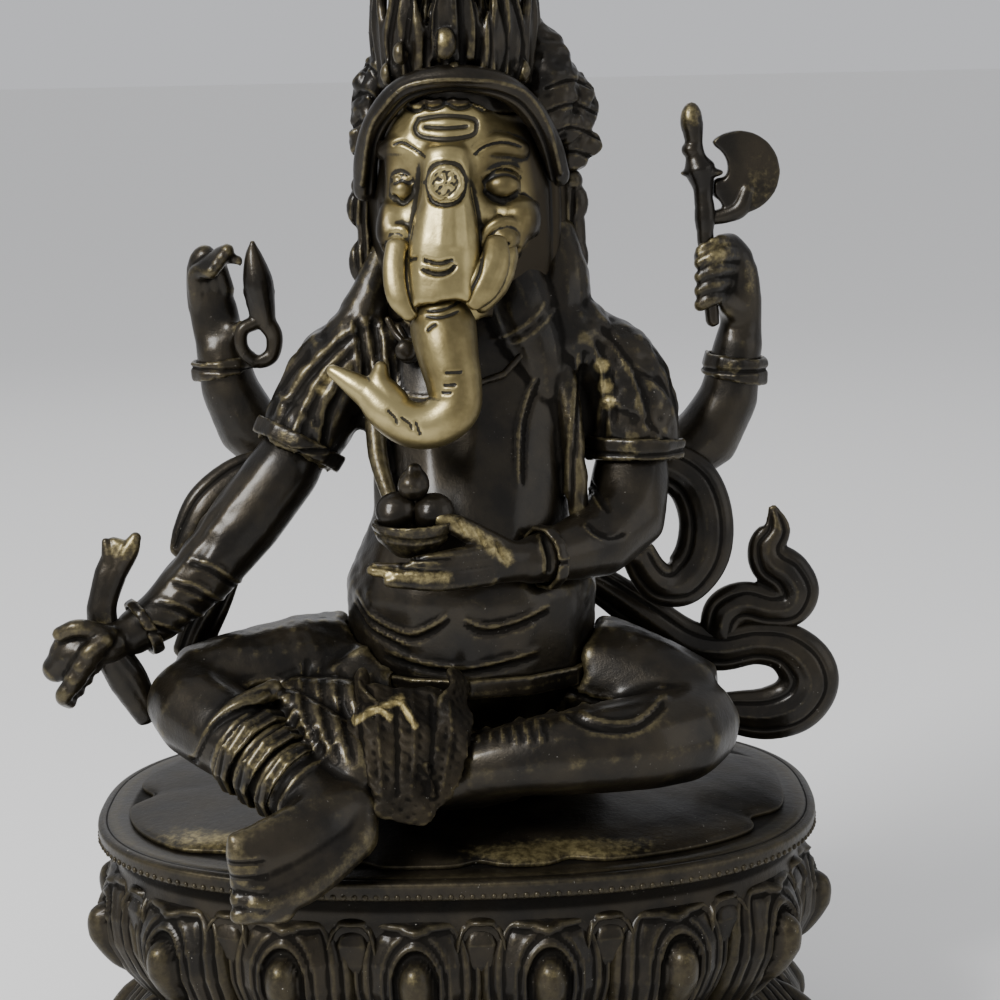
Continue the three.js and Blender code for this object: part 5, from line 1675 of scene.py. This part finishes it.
class IDOL_OT_scarves(bpy.types.Operator):
    """Model the scarf's loops and curled ends"""

    bl_idname = "idol.scarves"
    bl_label = "Scarves"

    def execute(self, context):
        skins = context.scene.idol_modelling
        ribbons = {
            "scarf_left_loop": [
                [60, 13, 101, 6.4], [67, 14, 100.5, 7.6], [74.2, 14, 95, 8.2], [77.6, 12, 85, 8.4],
                [76.4, 10.5, 74, 8.6], [70.5, 8, 66.5, 8.0], [64.0, 5, 66, 6.8], [59.6, 2, 70, 6.0],
                [56, -1, 77, 5.4],
            ],
            "scarf_left_tail": [
                [34, 15, 71, 4.6], [47, 19, 62, 6], [60, 21, 52, 7], [72, 22, 43.4, 7.4], [83, 22, 41, 7.2],
                [94, 22, 42.6, 7.0], [103, 22, 41.0, 8.0], [109.0, 22, 35.4, 9.2], [110.4, 22, 29, 9.6],
                [106, 22, 22.6, 9.4], [97.5, 22, 19.8, 8.6], [88, 21.5, 20.4, 7.2], [80, 21, 21.8, 5.4],
            ],
            "scarf_left_curl": [
                [82, 22, 46, 6.0], [84.4, 22, 53, 6.8], [90.4, 22, 55.6, 6.8], [98, 22, 53.8, 6.6],
                [104.2, 22, 54.4, 7.0], [106.4, 22, 59.0, 7.4], [103.6, 22, 64.6, 7.4], [98.8, 22, 68.4, 7.0],
                [97.6, 22, 73.6, 6.0], [100.4, 22, 79, 4.4], [99.2, 22, 85.6, 1.5],
            ],
            "scarf_right": [
                [-56, 4, 106, 4.4], [-64, 2, 101.5, 6.2], [-72, -1, 94.5, 6.8], [-77, -3, 86.5, 5.8],
                [-80, -4, 80.5, 4.2],
            ],
            "scarf_right_end": [
                [-67, -5, 73, 4.2], [-71, -4.6, 65.5, 5.2], [-75.5, -4, 57.5, 5.8], [-79, -4, 49.5, 5.6],
            ],
        }
        for node, rows in ribbons.items():
            rows = seated(rows)
            piece = Clay().bar(rows, sides=28, flat=0.5, spacing=0.8).skin(skins.medium * 0.75, 2)
            path = [(x, z) for x, _, z, _ in rows]
            piece.stroke(path, 1.5, 0.5, taper=0.05).stroke(path, 1.5, 0.5, view="back", taper=0.05)
            for side in (-1, 1):
                turn = np.gradient(np.array(path), axis=0)
                turn = turn[:, ::-1] * (1, -1) / np.linalg.norm(turn, axis=1)[:, None]
                line = np.array(path) + side * turn * 0.52 * np.array(rows)[:, 3:4]
                for view in ("front", "back"):
                    piece.stroke(line, 0.7, -0.6, view=view, taper=0.06)
            piece.finish(f"{node}_casting", FINISHES["bronze"], [node])
        return {"FINISHED"}


# ---------------------------------------------------------------- stage
class IDOL_OT_stage(bpy.types.Operator):
    """Set the floor, the lights and the camera"""

    bl_idname = "idol.stage"
    bl_label = "Stage"

    def execute(self, context):
        settings = context.scene.idol_stage
        paint = Paint("pale_floor")
        material = paint.finish({"Base Color": rgba(settings.floor), "Roughness": 0.9})
        mesh = bpy.data.meshes.new("floor")
        half = FLOOR_REACH
        mesh.from_pydata(
            [(-half, -half, 0), (half, -half, 0), (half, half, 0), (-half, half, 0)], [], [(0, 1, 2, 3)],
        )
        mesh.materials.append(material)
        floor = bpy.data.objects.new("floor", mesh)
        context.collection.objects.link(floor)

        world = bpy.data.worlds.new("studio")
        world.use_nodes = True
        background = world.node_tree.nodes["Background"]
        background.inputs["Color"].default_value = STUDIO_AIR
        background.inputs["Strength"].default_value = STUDIO_AIR_STRENGTH
        context.scene.world = world

        for name, place_, size, power in (
            ("key", (-0.70, -0.80, 0.95), 0.42, settings.key),
            ("fill", (1.3, -0.6, 0.5), 0.9, settings.fill),
            ("back", (-0.3, 1.2, 1.1), 0.9, settings.fill),
        ):
            light = bpy.data.lights.new(name, "AREA")
            light.shape = "SQUARE"
            light.size = size
            light.energy = power
            lamp = bpy.data.objects.new(name, light)
            lamp.location = place_
            lamp.rotation_euler = (Vector(LIGHTS_AIM) - Vector(place_)).to_track_quat("-Z", "Y").to_euler()
            context.collection.objects.link(lamp)

        camera = bpy.data.cameras.new("camera")
        camera.lens = settings.lens
        camera.sensor_width = 36.0
        camera.clip_start = 0.01
        eye = bpy.data.objects.new("camera", camera)
        tilt = Matrix.Rotation(math.radians(90 - EYE_DOWN), 4, "X")
        roll = Matrix.Rotation(math.radians(EYE_ROLL), 4, "Z")
        eye.matrix_world = Matrix.Translation(EYE) @ (tilt @ roll)
        context.collection.objects.link(eye)
        context.scene.camera = eye
        return {"FINISHED"}


class IDOL_PT_panel(bpy.types.Panel):
    """Sizes, colours and the steps in order"""

    bl_idname = "IDOL_PT_panel"
    bl_label = "Bronze idol"
    bl_space_type = "VIEW_3D"
    bl_region_type = "UI"
    bl_category = "Idol"

    def draw(self, context):
        for group in GROUPS:
            settings = getattr(context.scene, group)
            box = self.layout.box()
            for name in settings.__annotations__:
                box.prop(settings, name)
        for step in STEPS:
            self.layout.operator(step.bl_idname)


GROUPS = {
    "idol_finish": IdolFinish,
    "idol_modelling": IdolModelling,
    "idol_pedestal": IdolPedestal,
    "idol_stage": IdolStage,
}
STEPS = (
    IDOL_OT_stage,
    IDOL_OT_pedestal,
    IDOL_OT_petals,
    IDOL_OT_seat,
    IDOL_OT_legs,
    IDOL_OT_torso,
    IDOL_OT_arms,
    IDOL_OT_head,
    IDOL_OT_crown,
    IDOL_OT_held,
    IDOL_OT_scarves,
)
FINISHES = {}


def register():
    for group, kind in GROUPS.items():
        bpy.utils.register_class(kind)
        setattr(bpy.types.Scene, group, bpy.props.PointerProperty(type=kind))
    for kind in (*STEPS, IDOL_PT_panel):
        bpy.utils.register_class(kind)


def unregister():
    for kind in (*STEPS, IDOL_PT_panel):
        bpy.utils.unregister_class(kind)
    for group, kind in GROUPS.items():
        delattr(bpy.types.Scene, group)
        bpy.utils.unregister_class(kind)


def mix_finishes():
    FINISHES["bronze"] = patinated("patinated_bronze")
    FINISHES["pedestal"] = patinated("pedestal_bronze", 0.35, 1.6, 0.08)
    FINISHES["seat"] = patinated("seat_bronze", 0.3, 1.8, 0.16)
    FINISHES["cloth"] = patinated("cloth_bronze", 0.5, 1.6, 0.26)
    FINISHES["brass"] = bright_brass("bright_brass")
    FINISHES["copper"] = plain_copper("sealing_copper")
    for node in ("base_plate", "tang_wedge_1", "tang_wedge_2"):
        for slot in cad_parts[node].material_slots:
            slot.material = FINISHES["copper"]


def main():
    register()
    mix_finishes()
    for step in STEPS:
        group, name = step.bl_idname.split(".")
        getattr(getattr(bpy.ops, group), name)()


if __name__ == "__main__":
    main()
